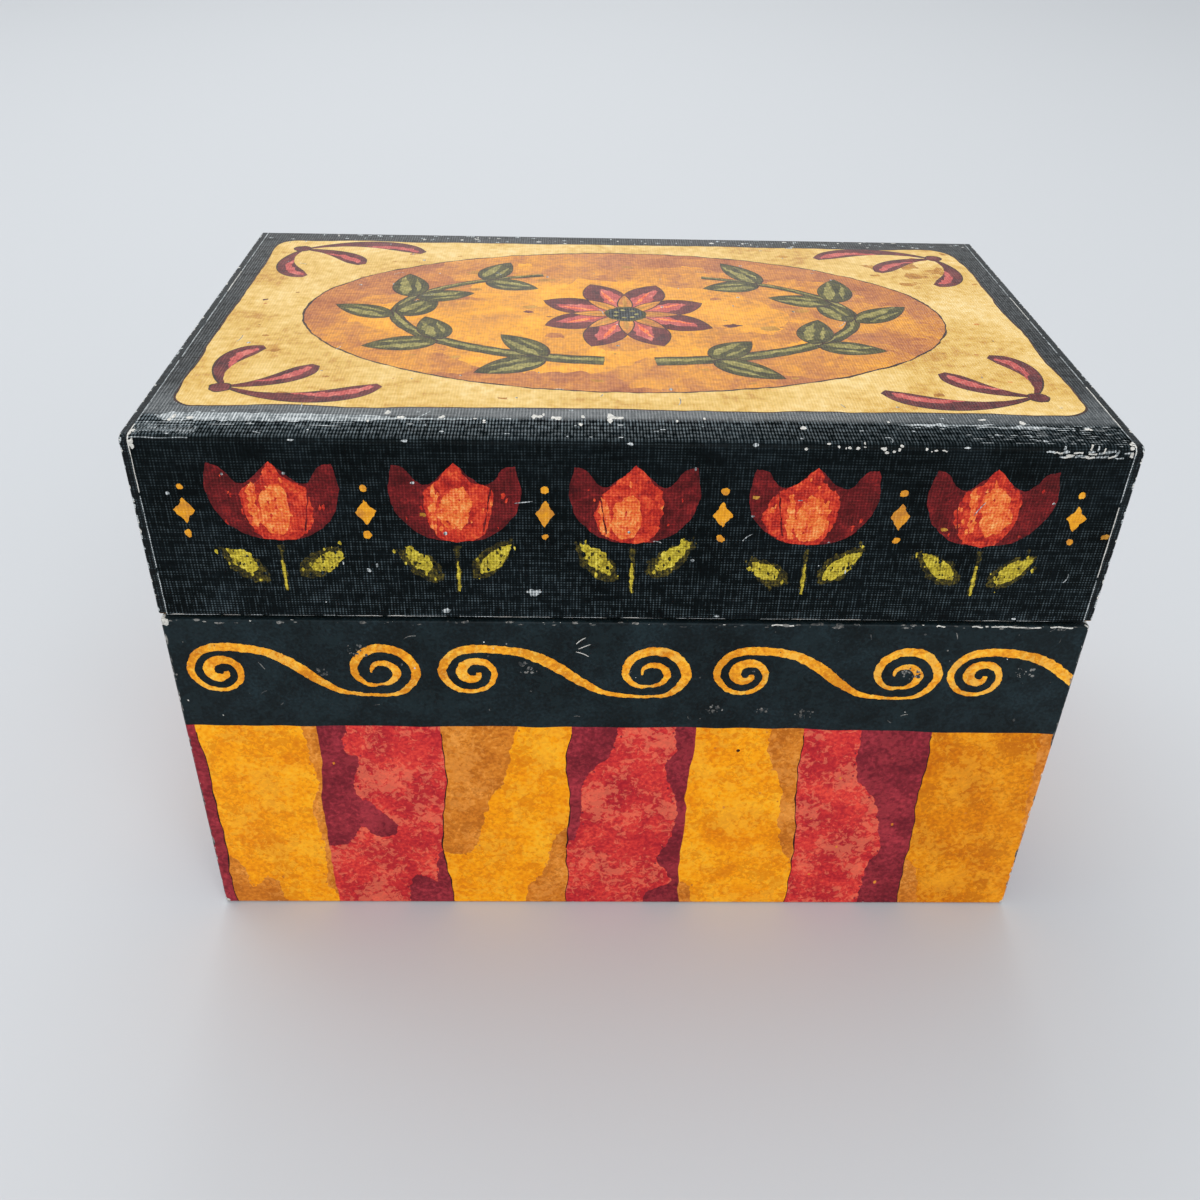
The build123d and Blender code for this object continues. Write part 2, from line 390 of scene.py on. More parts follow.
def make_print(name, tones, wash, grain, settled, lifted, matt=0.42):
    """Offset print on smooth coated paper, after a watercolour: washes that size in mm,
    tones from dark to light, under grains that size; spots where pigment settled and
    where it was lifted; and the low satin gloss of a coating dulled by handling."""
    made, tree = new_material(name)
    place = sheet_place(tree)
    _, grains, colour = washes(tree, place, tones, wash, grain, 2.0, 0.7)
    spotted = spots(tree, place, 0.8, 0.15, colour, settled, 0.5, 7.0)
    spotted = spots(tree, place, 1.0, 0.14, spotted, lifted, 0.4, 31.0)
    rub = add(tree, "TexNoise", {}, {"Vector": place, "Scale": 0.09, "Detail": 6.0})
    rough = add(tree, "Math", {"operation": "MULTIPLY_ADD"}, {0: rub, 1: 0.25, 2: matt - 0.125})
    close_paper(tree, spotted, rough, grains, 0.012, 0.1)
    return made


def make_plain_paper(name, scale, detail, distortion, stops, matt, relief):
    """Unprinted paper or card: one felt of fibres that gives it its tones and its relief."""
    made, tree = new_material(name)
    fibre = add(tree, "TexNoise", {}, {"Vector": solid_place(tree), "Scale": scale,
                                       "Detail": detail, "Distortion": distortion})
    colour = add(tree, "ValToRGB", {"stops": stops}, {0: fibre})
    close_paper(tree, colour, matt, fibre, relief)
    return made


# Torn paper: the white unprinted core that shows at cut edges and rubbed spots, fibrous
# and quite matt, greyed by handling.
torn_paper = make_plain_paper("paper_core_torn", 3.0, 4.0, 1.5, [
    (0.3, "#9c9a94"), (0.5, "#c9c7c0"), (0.7, "#e8e6df")], 0.85, 0.06)
wrap_inks = [make_print("print_" + name, tones.split(), *rest) for name, tones, *rest in (
    ("band_black_green", "#0b1214 #111a1d #172226 #1e2c31", 9, 0.5, "#0e1517", "#1e2c30"),
    ("gold_wash", "#e68206 #f4960a #fea60e #ffb624", 8, 0.7, "#d0720a", "#ffbe34"),
    ("ochre_wash", "#b8661a #cc7620 #dc862a #ee9c42", 6, 0.7, "#a45812", "#f0a048"),
    ("red_wash", "#a61e2a #c22c30 #d83a36 #ea4e3e", 7, 0.6, "#a01c2a", "#fb8a66"),
    ("maroon_wash", "#641a26 #7a222c #942c38 #b03842", 10, 0.7, "#641824", "#a83840"),
    ("outline_brown", "#1e0f12 #2c1517 #3a1d1c", 3, 0.5, "#180c0c", "#5a3428"),
    ("scroll_gold", "#d8801a #ec9820 #fcac28 #ffc440", 3, 0.6, "#c07018", "#ffd060"),
    ("rubbed_grey", "#23292c #3c4042 #5e5d5a #85827d", 0.8, 0.25, "#1c2224", "#b0aea8", 0.7),
    ("gold_deep_wash", "#c86a04 #d67a04 #e48a08 #f09a14", 8, 0.7, "#b46008", "#f8ae2c"),
)] + [torn_paper]
BAND, GOLD, BROWN, RED, MAROON, OUTLINE, SCROLL, RUBBED, DEEP_GOLD, TORN = range(10)

# How the sheet goes round the box, seen from above, and how it folds, seen in section.
end_run = 2 * (half_depth - corner_bend)
front_run = 2 * (half_width - corner_bend)
corner_arc = (quarter * corner_bend, quarter)
edge_arc = (quarter * edge_bend, quarter)
lip_run = lip - corner_bend
round_box = (
    Vector((lip - half_width, half_depth)), math.pi,
    [(lip_run, 0), corner_arc, (end_run, 0), corner_arc, (front_run, 0), corner_arc,
     (end_run, 0), corner_arc, (lip_run, 0)],
)
sheet_half = lip_run + 2 * corner_arc[0] + end_run + front_run / 2
turned_over = board_gauge + paper - edge_bend
over_edges = (
    Vector((-turned_in, sheet_foot)), 0.0,
    [(turned_in - edge_bend, 0), edge_arc, (rim - sheet_foot - 2 * edge_bend, 0), edge_arc,
     (turned_over, 0)],
)
foot_line = turned_in - edge_bend + edge_arc[0] / 2


def wrap_height(z):
    """How far up the flat sheet a height on the box is."""
    return foot_line + z - sheet_foot


def place_wrap(x, y, depth):
    """Fold a point of the base's wrap onto the box."""
    across, z = walk(over_edges, y, depth)
    plan = walk(round_box, x + sheet_half, -across)
    return Vector((plan.x, plan.y, z))


def wrap_outline():
    """The wrap's outline: flaps at the bottom and the rim, mitred at the front corners."""
    low_start = turned_in - edge_bend
    high_start = low_start + 2 * edge_arc[0] + rim - sheet_foot - 2 * edge_bend
    high_end = high_start + turned_over
    front_end = front_run / 2
    end_start = front_end + corner_arc[0]
    end_stop = end_start + end_run
    notch_in = corner_bend
    reach = turned_in
    cover = turned_over + edge_bend
    half = [
        (0, 0),
        (half_width - reach, 0),
        (front_end, low_start - notch_in + edge_bend),
        (front_end + corner_arc[0] / 2, low_start + 0.1),
        (end_start, low_start - notch_in + edge_bend),
        (end_start + reach - corner_bend, 0),
        (end_stop - reach + corner_bend, 0),
        (end_stop, low_start - notch_in + edge_bend),
        (end_stop + 0.1, low_start + edge_arc[0]),
        (sheet_half, low_start + edge_arc[0]),
        (sheet_half, high_start - edge_arc[0]),
        (end_stop + 0.1, high_start - edge_arc[0]),
        (end_stop, high_start),
        (end_stop, high_end),
        (end_start + cover - corner_bend, high_end),
        (end_start, high_start + notch_in - edge_bend),
        (front_end + corner_arc[0] / 2, high_start - 0.1),
        (front_end, high_start + notch_in - edge_bend),
        (half_width - cover, high_end),
        (0, high_end),
    ]
    return [Vector(p) for p in half] + [Vector((-x, y)) for x, y in half[-2:0:-1]]


# Stripes: where each boundary stands, which ink each stripe has, and the darker pools
# in it, in shares of its width and of the stripes' height.
boundaries = [-68.0, -50.0, -29.5, -9.1, 11.2, 29.2, 49.8, 71.0]
stripe_pitch = 20.2
stripes_top = 41.5
pools = {
    0: [[(-0.3, -0.3), (1.3, -0.3), (1.3, 0.9), (0.4, 0.93), (-0.3, 0.8)]],
    1: [[(-0.2, -0.3), (0.5, -0.3), (0.48, 0.05), (0.38, 0.16), (0.2, 0.1), (0.12, 0.24),
         (-0.2, 0.34)],
        [(0.93, 0.1), (1.2, 0.1), (1.2, 1.2), (0.93, 1.2), (0.9, 0.86), (0.97, 0.7),
         (0.9, 0.55), (0.96, 0.4)]],
    2: [[(-0.2, 1.3), (0.28, 1.3), (0.2, 0.9), (0.3, 0.82), (0.27, 0.66), (0.5, 0.54),
         (0.62, 0.44), (0.45, 0.4), (0.3, 0.46), (0.16, 0.36), (-0.2, 0.34)],
        [(0.66, -0.3), (1.2, -0.3), (1.2, 0.33), (0.96, 0.3), (0.88, 0.14), (0.74, 0.18),
         (0.64, 0.1)]],
    3: [[(-0.2, 1.3), (0.57, 1.3), (0.52, 0.8), (0.36, 0.6), (0.28, 0.36), (0.12, 0.3),
         (-0.2, 0.36)],
        [(0.62, -0.3), (1.2, -0.3), (1.2, 0.44), (0.95, 0.42), (0.86, 0.3), (0.78, 0.18),
         (0.66, 0.12)]],
    4: [[(-0.3, 1.3), (0.32, 1.3), (0.36, 0.9), (0.22, 0.78), (0.1, 0.66), (0.06, 0.4),
         (-0.3, 0.34)],
        [(0.76, 1.3), (1.2, 1.3), (1.2, -0.3), (0.72, -0.3), (0.7, 0.04), (0.92, 0.14),
         (0.8, 0.28), (0.9, 0.42), (0.92, 0.6), (0.8, 0.78), (0.86, 0.88)]],
    5: [[(0.62, 1.3), (1.2, 1.3), (1.2, 0.28), (0.94, 0.3), (0.84, 0.48), (0.86, 0.7),
         (0.7, 0.84)],
        [(-0.2, -0.3), (0.18, -0.3), (0.1, 0.1), (-0.2, 0.14)]],
    6: [[(0.44, 1.3), (1.2, 1.3), (1.2, -0.3), (0.7, -0.3), (0.66, 0.2), (0.74, 0.34),
         (0.66, 0.6), (0.5, 0.72), (0.44, 0.86)]],
    7: [[(0.8, 1.3), (1.3, 1.3), (1.3, 0.3), (0.98, 0.34), (0.86, 0.6)],
        [(-0.2, -0.3), (0.24, -0.3), (0.16, 0.1), (0.06, 0.26), (-0.2, 0.3)]],
}


def boundary(number, y):
    """Where the boundary between two stripes is at a height of the flat sheet."""
    if 0 <= number < len(boundaries):
        x = boundaries[number]
    elif number < 0:
        x = boundaries[0] + stripe_pitch * number
    else:
        x = boundaries[-1] + stripe_pitch * (number - len(boundaries) + 1)
    wander = noise.noise(Vector((number * 7.3, y / 16, 3.1)))
    shake = noise.noise(Vector((number * 5.1, y / 2.5, 8.7)))
    return x + 1.5 * wander + 0.35 * shake


def band_edge(x):
    """The height on the flat sheet at which the dark band ends and the stripes start."""
    sag = -0.9 * min(max((x - 20) / 50, 0), 1)
    return wrap_height(stripes_top) + sag + 0.35 * noise.noise(Vector((x / 6, 2.2, 0)))


def striped(first, last, y_low):
    """The stripes of a sheet, with their pools and the dark lines between some of them."""
    areas = []
    top = wrap_height(stripes_top)
    for number in range(first, last):
        steps = [y_low + (top - 1.5 - y_low) * cut / 90 for cut in range(91)]
        left = [Vector((boundary(number, y), y)) for y in steps]
        right = [Vector((boundary(number + 1, y), y)) for y in steps]
        start, end = left[-1].x, right[-1].x
        cap = [start + (end - start) * cut / 24 for cut in range(25)]
        head = [Vector((x, band_edge(x))) for x in cap]
        own = len(areas)
        red = number % 2 == 1
        gold = DEEP_GOLD if number % 8 == 6 else GOLD
        areas.append((RED if red else gold, left + head + right[::-1], None))
        ink = MAROON if red else BROWN
        for pool in pools[(number + 1) % 8]:
            keys = []
            for across, up in pool:
                y = wrap_height(0) + (top - wrap_height(0)) * up
                x = boundary(number, y) + across * (boundary(number + 1, y) - boundary(number, y))
                keys.append(Vector((x, y, 0)))
            ring = ragged([p.xy for p in through(keys, 0.8)], 0.35, 0.5, number * 3.3)
            areas.append((ink, ring, own))
            for drop in range(0, len(ring), 9):
                at = ring[drop] + 1.6 * noise.noise_vector(Vector((drop, number, 1))).xy
                size = 0.35 + 0.9 * abs(noise.noise(Vector((drop, number, 6))))
                blot = speck(at.x, at.y, size, size * 1.3, drop)
                areas.append((ink, blot, own))
        if number % 3 != 1:
            line = []
            for y in steps:
                wide = 0.12 + 0.3 * abs(noise.noise(Vector((number, y / 5, 5))))
                line.append(Vector((boundary(number, y) + 0.05, y, wide)))
            areas.append((OUTLINE, brushed(line), None))
    return areas


def curl(centre, start, reaches, widths, rise):
    """A spiral's points, one every eighth of a turn from the start in quarter turns,
    with its reach and the brush's width given at every quarter. The rise turns it."""
    keys = []
    for step in range(2 * len(reaches) - 1):
        low, high = step // 2, min((step + 1) // 2, len(reaches) - 1)
        reach = (reaches[low] + reaches[high]) / 2
        width = (widths[low] + widths[high]) / 2
        angle = (start + rise * step / 2) * quarter
        keys.append(Vector((centre.x + reach * math.cos(angle),
                            centre.y + reach * math.sin(angle), width)))
    return keys


def scroll(left, right, middle):
    """A running scroll: a curl that unwinds, falls across and winds up in a bolder curl."""
    vary = 0.12 * math.sin(left * 1.7)
    small = Vector((left + 5.0, middle + 0.2))
    bold = Vector((right - 6.1, middle + 0.1))
    keys = curl(small, 0, [0.7, 1.2, 1.9, 2.2, 3.0 + vary, 3.6, 4.8 + vary, 4.6],
                [0.7, 1.3, 1.8, 1.4 - vary, 1.0, 0.7, 1.2 + vary, 1.5], -1)
    span = bold.x - small.x
    for share, up, width in ((0.22, 4.4, 1.5), (0.36, 3.2, 1.75 + vary), (0.49, 1.0, 1.8),
                             (0.61, -1.5, 1.5), (0.76, -3.7, 0.9)):
        keys.append(Vector((small.x + share * span, middle + up, width)))
    keys += curl(bold, -1, [4.4, 5.6, 4.6 - vary, 3.9, 2.3, 2.6, 1.8, 1.3],
                 [0.5, 1.5 + vary, 1.55, 1.15, 0.5, 1.25 - vary, 0.95, 0.35], 1)
    return ragged(brushed(through(keys, 0.3)), 0.2, 0.14, left)


def scuffs(luck, ink, count, x_range, y_range, size, tall=1.0):
    """Torn or rubbed spots scattered over a stretch of the sheet."""
    found = []
    for _ in range(count):
        x = luck.uniform(*x_range)
        y = luck.uniform(*y_range)
        reach = luck.uniform(0.35, 1.0) ** 2 * size
        ring = speck(x, y, reach, reach * tall * luck.uniform(0.6, 1.6), x + y)
        if reach > 0.6:
            ring = ragged(ring, 0.15, 0.3 * min(reach, reach * tall), x)
        found.append((ink, ring, None))
    return found


def scratches(luck, ink, count, x_range, y_range, length, wide, slant=quarter):
    """Short bent scratches scattered over a stretch, slanting up to that much."""
    found = []
    for _ in range(count):
        x, y = luck.uniform(*x_range), luck.uniform(*y_range)
        angle = luck.uniform(-slant, slant)
        bend = luck.uniform(-0.4, 0.4) * slant
        reach = luck.uniform(0.3, 1.0) * length
        line = []
        for step in range(5):
            along = reach * step / 4
            turn = angle + bend * step / 4
            line.append(Vector((x + along * math.cos(turn), y + along * math.sin(turn),
                                wide * (0.4 + 0.6 * math.sin(math.pi * (step + 0.5) / 5)))))
        found.append((ink, brushed(line), None))
    return found


def smudges(luck, ink, count, x_range, y_range, size):
    """Rubbed places, each a crowd of small specks."""
    found = []
    for _ in range(count):
        x, y = luck.uniform(*x_range), luck.uniform(*y_range)
        reach = luck.uniform(0.5, 1.0) * size
        for _ in range(round(9 * reach)):
            found += scuffs(luck, ink, 1, (x - reach / 2, x + reach / 2),
                            (y - reach / 3, y + reach / 3), 0.5)
    return found


def make_base_wrap():
    areas = striped(-5, 12, -1)
    for left, right in ((-149.5, -113.0), (-109.5, -71.5), (-67.4, -32.1), (-28.7, 9.7),
                        (13.6, 49.0), (50.2, 87.0), (91.0, 127.0), (131.0, 170.0)):
        areas.append((SCROLL, scroll(left, right, wrap_height(52.2)), None))
    luck = random.Random(11)
    around = (-sheet_half, sheet_half)
    band = (wrap_height(43), wrap_height(61.5))
    lower_edge = (foot_line - 0.2, foot_line + 0.25)
    top_edge = wrap_height(rim)
    areas += smudges(luck, RUBBED, 26, around, band, 3.2)
    areas += scuffs(luck, RUBBED, 60, around, band, 0.5)
    areas += scuffs(luck, TORN, 30, around, band, 0.28)
    areas += scratches(luck, RUBBED, 40, around, band, 1.8, 0.14)
    areas += scratches(luck, TORN, 3, (-8.2, -6.8), (wrap_height(56.5), wrap_height(58.5)), 2.6,
                       0.16, 1.0)
    areas += scuffs(luck, BROWN, 60, around, (wrap_height(3), wrap_height(39)), 0.6)
    for x, length in ((21.5, 3.4), (46.5, 1.4), (52.0, 1.6), (55.0, 7.5), (64.0, 3.4)):
        line = [Vector((x + length * step / 6, top_edge - 0.3 + 0.08 * math.sin(step), 0.2))
                for step in range(7)]
        areas.append((TORN, ragged(brushed(line), 0.3, 0.12, x), None))
    areas += scuffs(luck, TORN, 30, (-150, 150), (top_edge - 0.3, top_edge), 0.6, 0.3)
    areas += scuffs(luck, RUBBED, 150, (-150, 150), (top_edge - 0.7, top_edge), 1.4, 0.3)
    areas += scuffs(luck, TORN, 70, (-150, 150), lower_edge, 0.6, 0.3)
    for corner in (-half_width, half_width, half_width + 2 * half_depth - corner_bend,
                   corner_bend - half_width - 2 * half_depth):
        line = (corner - 0.35, corner + 0.35)
        areas += scuffs(luck, RUBBED, 60, line, (foot_line, top_edge), 0.5, 3.5)
        areas += scuffs(luck, TORN, 60, line, (foot_line, top_edge), 0.28, 2.5)
        areas += scuffs(luck, TORN, 12, (corner - 1.1, corner + 1.1),
                        (top_edge - 1.2, top_edge + 0.2), 1.1)
        areas += scuffs(luck, TORN, 8, (corner - 0.6, corner + 0.6),
                        (foot_line, foot_line + 0.9), 0.9)
    areas.append((OUTLINE, oval(18.6, wrap_height(36.7), 0.3, 0.3), None))
    folds = [((-beyond, y), (beyond, y)) for y in bent_at(over_edges)]
    folds += [((x - sheet_half, -beyond), (x - sheet_half, beyond)) for x in bent_at(round_box)]
    sheet = make_sheet("base_printed_wrap", wrap_outline(), areas, folds, place_wrap, wrap_inks)
    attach(sheet, "base")
    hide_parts("base_wrap")


make_base_wrap()

# ---------------------------------------------------------------- base back paper
# A separate piece of the same print over the back board, turned in under the bottom.
# Its top is left bare under the tail of the lid's cover, and its sides stop just short
# of the corners, on the wrap's lips.

back_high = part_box("base_back_paper")[1].z / MM
back_half = half_width - lip
back_sheet_top = wrap_height(back_high)


def place_back(x, y, depth):
    """Fold a point of the back sheet onto the box; x runs leftwards seen from the front."""
    across, z = walk(over_edges, y, depth)
    return Vector((-x, half_depth + across, z))


def make_base_back():
    reach = half_width - turned_in
    outline = [Vector(p) for p in (
        (-reach, 0), (reach, 0), (back_half - 0.3, turned_in - edge_bend - 0.4),
        (back_half, turned_in), (back_half, back_sheet_top),
        (-back_half, back_sheet_top), (-back_half, turned_in),
        (0.3 - back_half, turned_in - edge_bend - 0.4))]
    areas = striped(-2, 7, -1)
    luck = random.Random(12)
    areas += scuffs(luck, RUBBED, 50, (-68, 68), (wrap_height(42), back_sheet_top), 0.9)
    areas += scuffs(luck, TORN, 40, (-68, 68), (foot_line - 0.2, foot_line + 0.25), 0.6, 0.3)
    foot = turned_in + 5           # past the lower bend; the sheet ends below the rim's
    folds = [((-beyond, y), (beyond, y)) for y in bent_at(over_edges) if y < foot]
    sheet = make_sheet("base_back_print", outline, areas, folds, place_back, wrap_inks)
    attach(sheet, "base")
    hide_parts("base_back_paper")


make_base_back()

# ---------------------------------------------------------------- bottom sheet
# A plain dark sheet pasted under the box over the turned-in papers. It is what the box
# stands on, and it has grey rub marks.


# Uncoated paper dyed near-black: matt, fibrous, with grey rub marks.
dyed_paper = make_plain_paper("paper_dyed_black", 1.6, 6.0, 0.8, [
    (0.3, "#1a1f20"), (0.55, "#262c2d"), (0.68, "#3a4040"), (0.78, "#6b6c68")], 0.8, 0.04)
dress(["base_bottom_paper"], dyed_paper)

# ---------------------------------------------------------------- linings
# Cream uncoated paper on the floor, the back wall and all round the inside of the lid,
# pasted down last over the turned-in edges of the covers.


def make_lining_paper():
    """Cream lining paper, uncoated and machine-laid: matt, faintly cloudy and foxed."""
    made, tree = new_material("paper_lining_cream")
    place = solid_place(tree)
    cloud = add(tree, "TexNoise", {}, {"Vector": place, "Scale": 0.06, "Detail": 6.0,
                                       "Roughness": 0.6})
    fibre = add(tree, "TexNoise", {}, {"Vector": place, "Scale": 2.2, "Detail": 4.0})
    share = add(tree, "Math", {"operation": "MULTIPLY_ADD"}, {0: fibre, 1: 0.25, 2: -0.125})
    both = add(tree, "Math", {"operation": "ADD"}, {0: cloud, 1: share})
    colour = add(tree, "ValToRGB", {"stops": [
        (0.3, "#d5c296"), (0.45, "#dfcfa6"), (0.6, "#e5d6b0"), (0.75, "#ecdfbf"),
    ]}, {0: both})
    close_paper(tree, colour, 0.82, fibre, 0.03)
    return made


lining_paper = make_lining_paper()
dress(["floor_lining", "back_lining", "lid_lining", "lid_left_lining", "lid_right_lining"],
      lining_paper)

# ---------------------------------------------------------------- collar
# Three strips of card faced with the lining paper, glued inside the base and standing
# above its rim, so that the lid closes over them without a catch.


def make_collar_card():
    """Paper-faced card: cream and matt, soiled along the top edge where fingers go."""
    made, tree = new_material("card_paper_faced")
    place = solid_place(tree)
    fibre = add(tree, "TexNoise", {}, {"Vector": place, "Scale": 2.6, "Detail": 4.0})
    height = add(tree, "SeparateXYZ", {}, {0: place})
    soil = add(tree, "MapRange", {}, {"Value": height.outputs[2], "From Min": rim,
                                      "From Max": rim + 8, "To Min": 0.0, "To Max": 0.12})
    both = add(tree, "Math", {"operation": "SUBTRACT"}, {0: fibre, 1: soil})
    colour = add(tree, "ValToRGB", {"stops": [
        (0.2, "#bca678"), (0.36, "#dccba0"), (0.55, "#e3d4ad"), (0.75, "#e9dcb9"),
    ]}, {0: both})
    close_paper(tree, colour, 0.7, fibre, 0.04)
    return made


dress(["collar_front", "collar_left", "collar_right"], make_collar_card())

# ---------------------------------------------------------------- lid end papers
# Linen-embossed printed paper over each end of the lid, bent round the edges on to the
# front, top and back, where the cover then overlaps all but a narrow strip of it.

lid_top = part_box("lid_cover")[1].z / MM
lid_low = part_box("lid_left_paper")[0].z / MM
lid_round = 1.0                # outer radius of the lid's front and back top edges
lid_skin = half_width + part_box("lid_left_lining")[1].x / MM    # paper, board and lining
end_bend = 0.4                 # paper's bend round the end's edges
thread = 0.456                 # pitch of the embossed linen's upright threads
weft = 0.42                    # and of its cross threads
knot_row_pitch = 1.15                 # pitch of the rows of knots at the front edge, which are painted bright


def make_linen_print(name, tones, wash, grain, glint, shine=0.3, shade=0.3, worn=0.0,
                     matt=0.42, edge=None):
    """Printed paper, linen-embossed after printing: upright threads in short runs, with
    fainter cross threads, at their real pitch. Light and shade are painted into the
    colour: the crests are painted towards the glint colour, by up to shine, and the
    valleys painted darker, by up to shade. Worn is how far the print is rubbed off the
    crests; it also spreads the painted crest highlight. Edge is where on the sheet the
    lid's front edge is: for 6 mm behind it the paper is dull, save the tops of the knots
    that the threads run in there, and those knots are painted bright on dull valleys,
    brighter further back and at the left; behind them the paper is glossier, most up to
    9 mm behind the edge and fading by 18 mm, where a painted sheen is added as well. In
    front of the edge the painted crest highlight is strongest at the foot and falls to a
    third by 6 mm below the edge, and stays so on the top."""
    made, tree = new_material(name)
    place = sheet_place(tree)
    pools, _, colour = washes(tree, place, tones, wash, grain, 3.0, 0.6)

    # A wave texture's bands are pi / (10 * scale) apart.
    upright = add(tree, "TexWave", {"bands_direction": "X"}, {
        "Vector": place, "Scale": math.pi / 10 / thread, "Distortion": 0.8, "Detail": 1.0,
        "Detail Scale": 0.6})
    across = add(tree, "TexWave", {"bands_direction": "Y"}, {
        "Vector": place, "Scale": math.pi / 10 / weft, "Distortion": 1.0, "Detail": 1.0,
        "Detail Scale": 0.6})
    short = add(tree, "VectorMath", {"operation": "MULTIPLY"}, {0: place, 1: (1.6, 0.5, 1)})
    long = add(tree, "VectorMath", {"operation": "MULTIPLY"}, {0: place, 1: (0.14, 1.5, 1)})
    runs = add(tree, "TexNoise", {}, {"Vector": short, "Scale": 1.0, "Detail": 3.0})
    lines = add(tree, "TexNoise", {}, {"Vector": long, "Scale": 1.0, "Detail": 3.0})
    run = add(tree, "MapRange", {}, {"Value": runs, "From Min": 0.36, "From Max": 0.62,
                                     "To Min": 0.15, "To Max": 0.6})
    line = add(tree, "MapRange", {}, {"Value": lines, "From Min": 0.36,
                                      "From Max": 0.6, "To Min": 0.1, "To Max": 0.5})
    crest = add(tree, "Math", {"operation": "MULTIPLY"}, {0: upright.outputs["Fac"], 1: run})
    height = add(tree, "Math", {"operation": "MULTIPLY_ADD"},
                 {0: across.outputs["Fac"], 1: line, 2: crest})
    # Painted light: crests are mixed towards the glint colour, by up to shine, and valleys are
    # darkened, by up to shade.
    lit = add(tree, "MapRange", {}, {
        "Value": height, "From Min": 0.5 - 0.35 * worn, "From Max": 0.95 - 0.45 * worn,
        "To Min": 0.0, "To Max": shine})
    dark = add(tree, "MapRange", {}, {"Value": height, "From Min": 0.05,
                                      "From Max": 0.5, "To Min": 1 - shade, "To Max": 1.0})
    gloss = 0.12
    if edge is not None:
        parts = add(tree, "SeparateXYZ", {}, {0: place})
        along = parts.outputs[1]
        # The painted crest highlight on the front is strongest at its foot.
        foot = add(tree, "MapRange", {}, {"Value": along, "From Min": edge - 30,
                                          "From Max": edge - 6, "To Min": 1.0,
                                          "To Max": 0.35})
        lit = add(tree, "Math", {"operation": "MULTIPLY"}, {0: lit, 1: foot})
        uneven = add(tree, "Math", {"operation": "MULTIPLY_ADD"}, {0: pools, 1: 2.0, 2: along})
        fresh = add(tree, "MapRange", {}, {"Value": uneven, "From Min": edge + 6.3,
                                           "From Max": edge + 7.6})
        below = add(tree, "MapRange", {}, {"Value": along, "From Min": edge - 1.0,
                                           "From Max": edge - 0.2})
        deeper = add(tree, "MapRange", {}, {"Value": along, "From Min": edge + 0.5,
                                            "From Max": edge + 6.0, "To Min": 0.45,
                                            "To Max": 1.0})
        # Rows of knots in the strip behind the edge are painted bright, more further back and more
        # at the left, and made a little glossier.
        strip = add(tree, "Math", {"operation": "SUBTRACT"}, {0: below, 1: fresh})
        left_stronger = add(tree, "MapRange", {}, {"Value": parts, "From Min": -50.0,
                                               "From Max": 50.0, "To Min": 1.25,
                                               "To Max": 0.45})
        knot_band = add(tree, "Math", {"operation": "MULTIPLY"}, {0: strip, 1: deeper})
        knot_band = add(tree, "Math", {"operation": "MULTIPLY"}, {0: knot_band, 1: left_stronger})
        rows = add(tree, "TexWave", {"bands_direction": "Y"}, {
            "Vector": place, "Scale": math.pi / 10 / knot_row_pitch, "Distortion": 2.6, "Detail": 2.0,
            "Detail Scale": 1.6}).outputs["Fac"]
        rows = add(tree, "Mix", {}, {"Factor": 0.35, 2: rows, 3: across.outputs["Fac"]})
        knots = add(tree, "Math", {"operation": "MULTIPLY"}, {0: upright.outputs["Fac"], 1: rows})
        uneven_knots = add(tree, "Math", {"operation": "MULTIPLY"}, {0: knots, 1: run})
        knot_tops = add(tree, "MapRange", {}, {"Value": uneven_knots, "From Min": 0.03,
                                              "From Max": 0.36})
        knot_gloss_and_painted_glint = add(tree, "Math", {"operation": "MULTIPLY"}, {0: knot_tops, 1: knot_band})
        # Behind the knots the paper is glossier, and a painted sheen is mixed into its colour as
        # well.
        away = add(tree, "MapRange", {}, {"Value": along, "From Min": edge + 9,
                                          "From Max": edge + 18, "To Min": 1.0,
                                          "To Max": 0.0})
        gloss_and_painted_sheen = add(tree, "Math", {"operation": "MULTIPLY"}, {0: away, 1: fresh})
        lit = add(tree, "Math", {"operation": "ADD", "use_clamp": True}, {0: lit, 1: knot_gloss_and_painted_glint})
        lit = add(tree, "Math", {"operation": "MULTIPLY_ADD", "use_clamp": True},
                  {0: gloss_and_painted_sheen, 1: 0.16, 2: lit})
        gloss = add(tree, "MapRange", {}, {"Value": below, "To Min": 0.05, "To Max": 0.0})
        gloss = add(tree, "Math", {"operation": "MULTIPLY_ADD"}, {0: knot_gloss_and_painted_glint, 1: 0.3, 2: gloss})
        woven = add(tree, "MapRange", {}, {"Value": height, "From Min": 0.1,
                                           "From Max": 0.6, "To Min": 0.2,
                                           "To Max": 1.7})
        coat = add(tree, "Math", {"operation": "MULTIPLY_ADD"}, {0: gloss_and_painted_sheen, 1: 0.5, 2: 0.24})
        coat = add(tree, "Math", {"operation": "MULTIPLY"}, {0: coat, 1: fresh})
        gloss = add(tree, "Math", {"operation": "MULTIPLY_ADD"}, {0: coat, 1: woven, 2: gloss})
    # The painted valley shade and the painted crest highlight go into the colour here.
    shaded = add(tree, "Mix", {"data_type": "RGBA", "blend_type": "MULTIPLY"}, {
        "Factor": 1.0, 6: colour, 7: dark})
    glinting = add(tree, "Mix", {"data_type": "RGBA"}, {
        "Factor": lit, 6: shaded.outputs[2], 7: glint})
    rub = add(tree, "TexNoise", {}, {"Vector": place, "Scale": 0.08, "Detail": 6.0})
    rough = add(tree, "Math", {"operation": "MULTIPLY_ADD"}, {0: rub, 1: 0.2, 2: matt - 0.1})
    close_paper(tree, glinting.outputs[2], rough, height, 0.07, gloss)
    return made


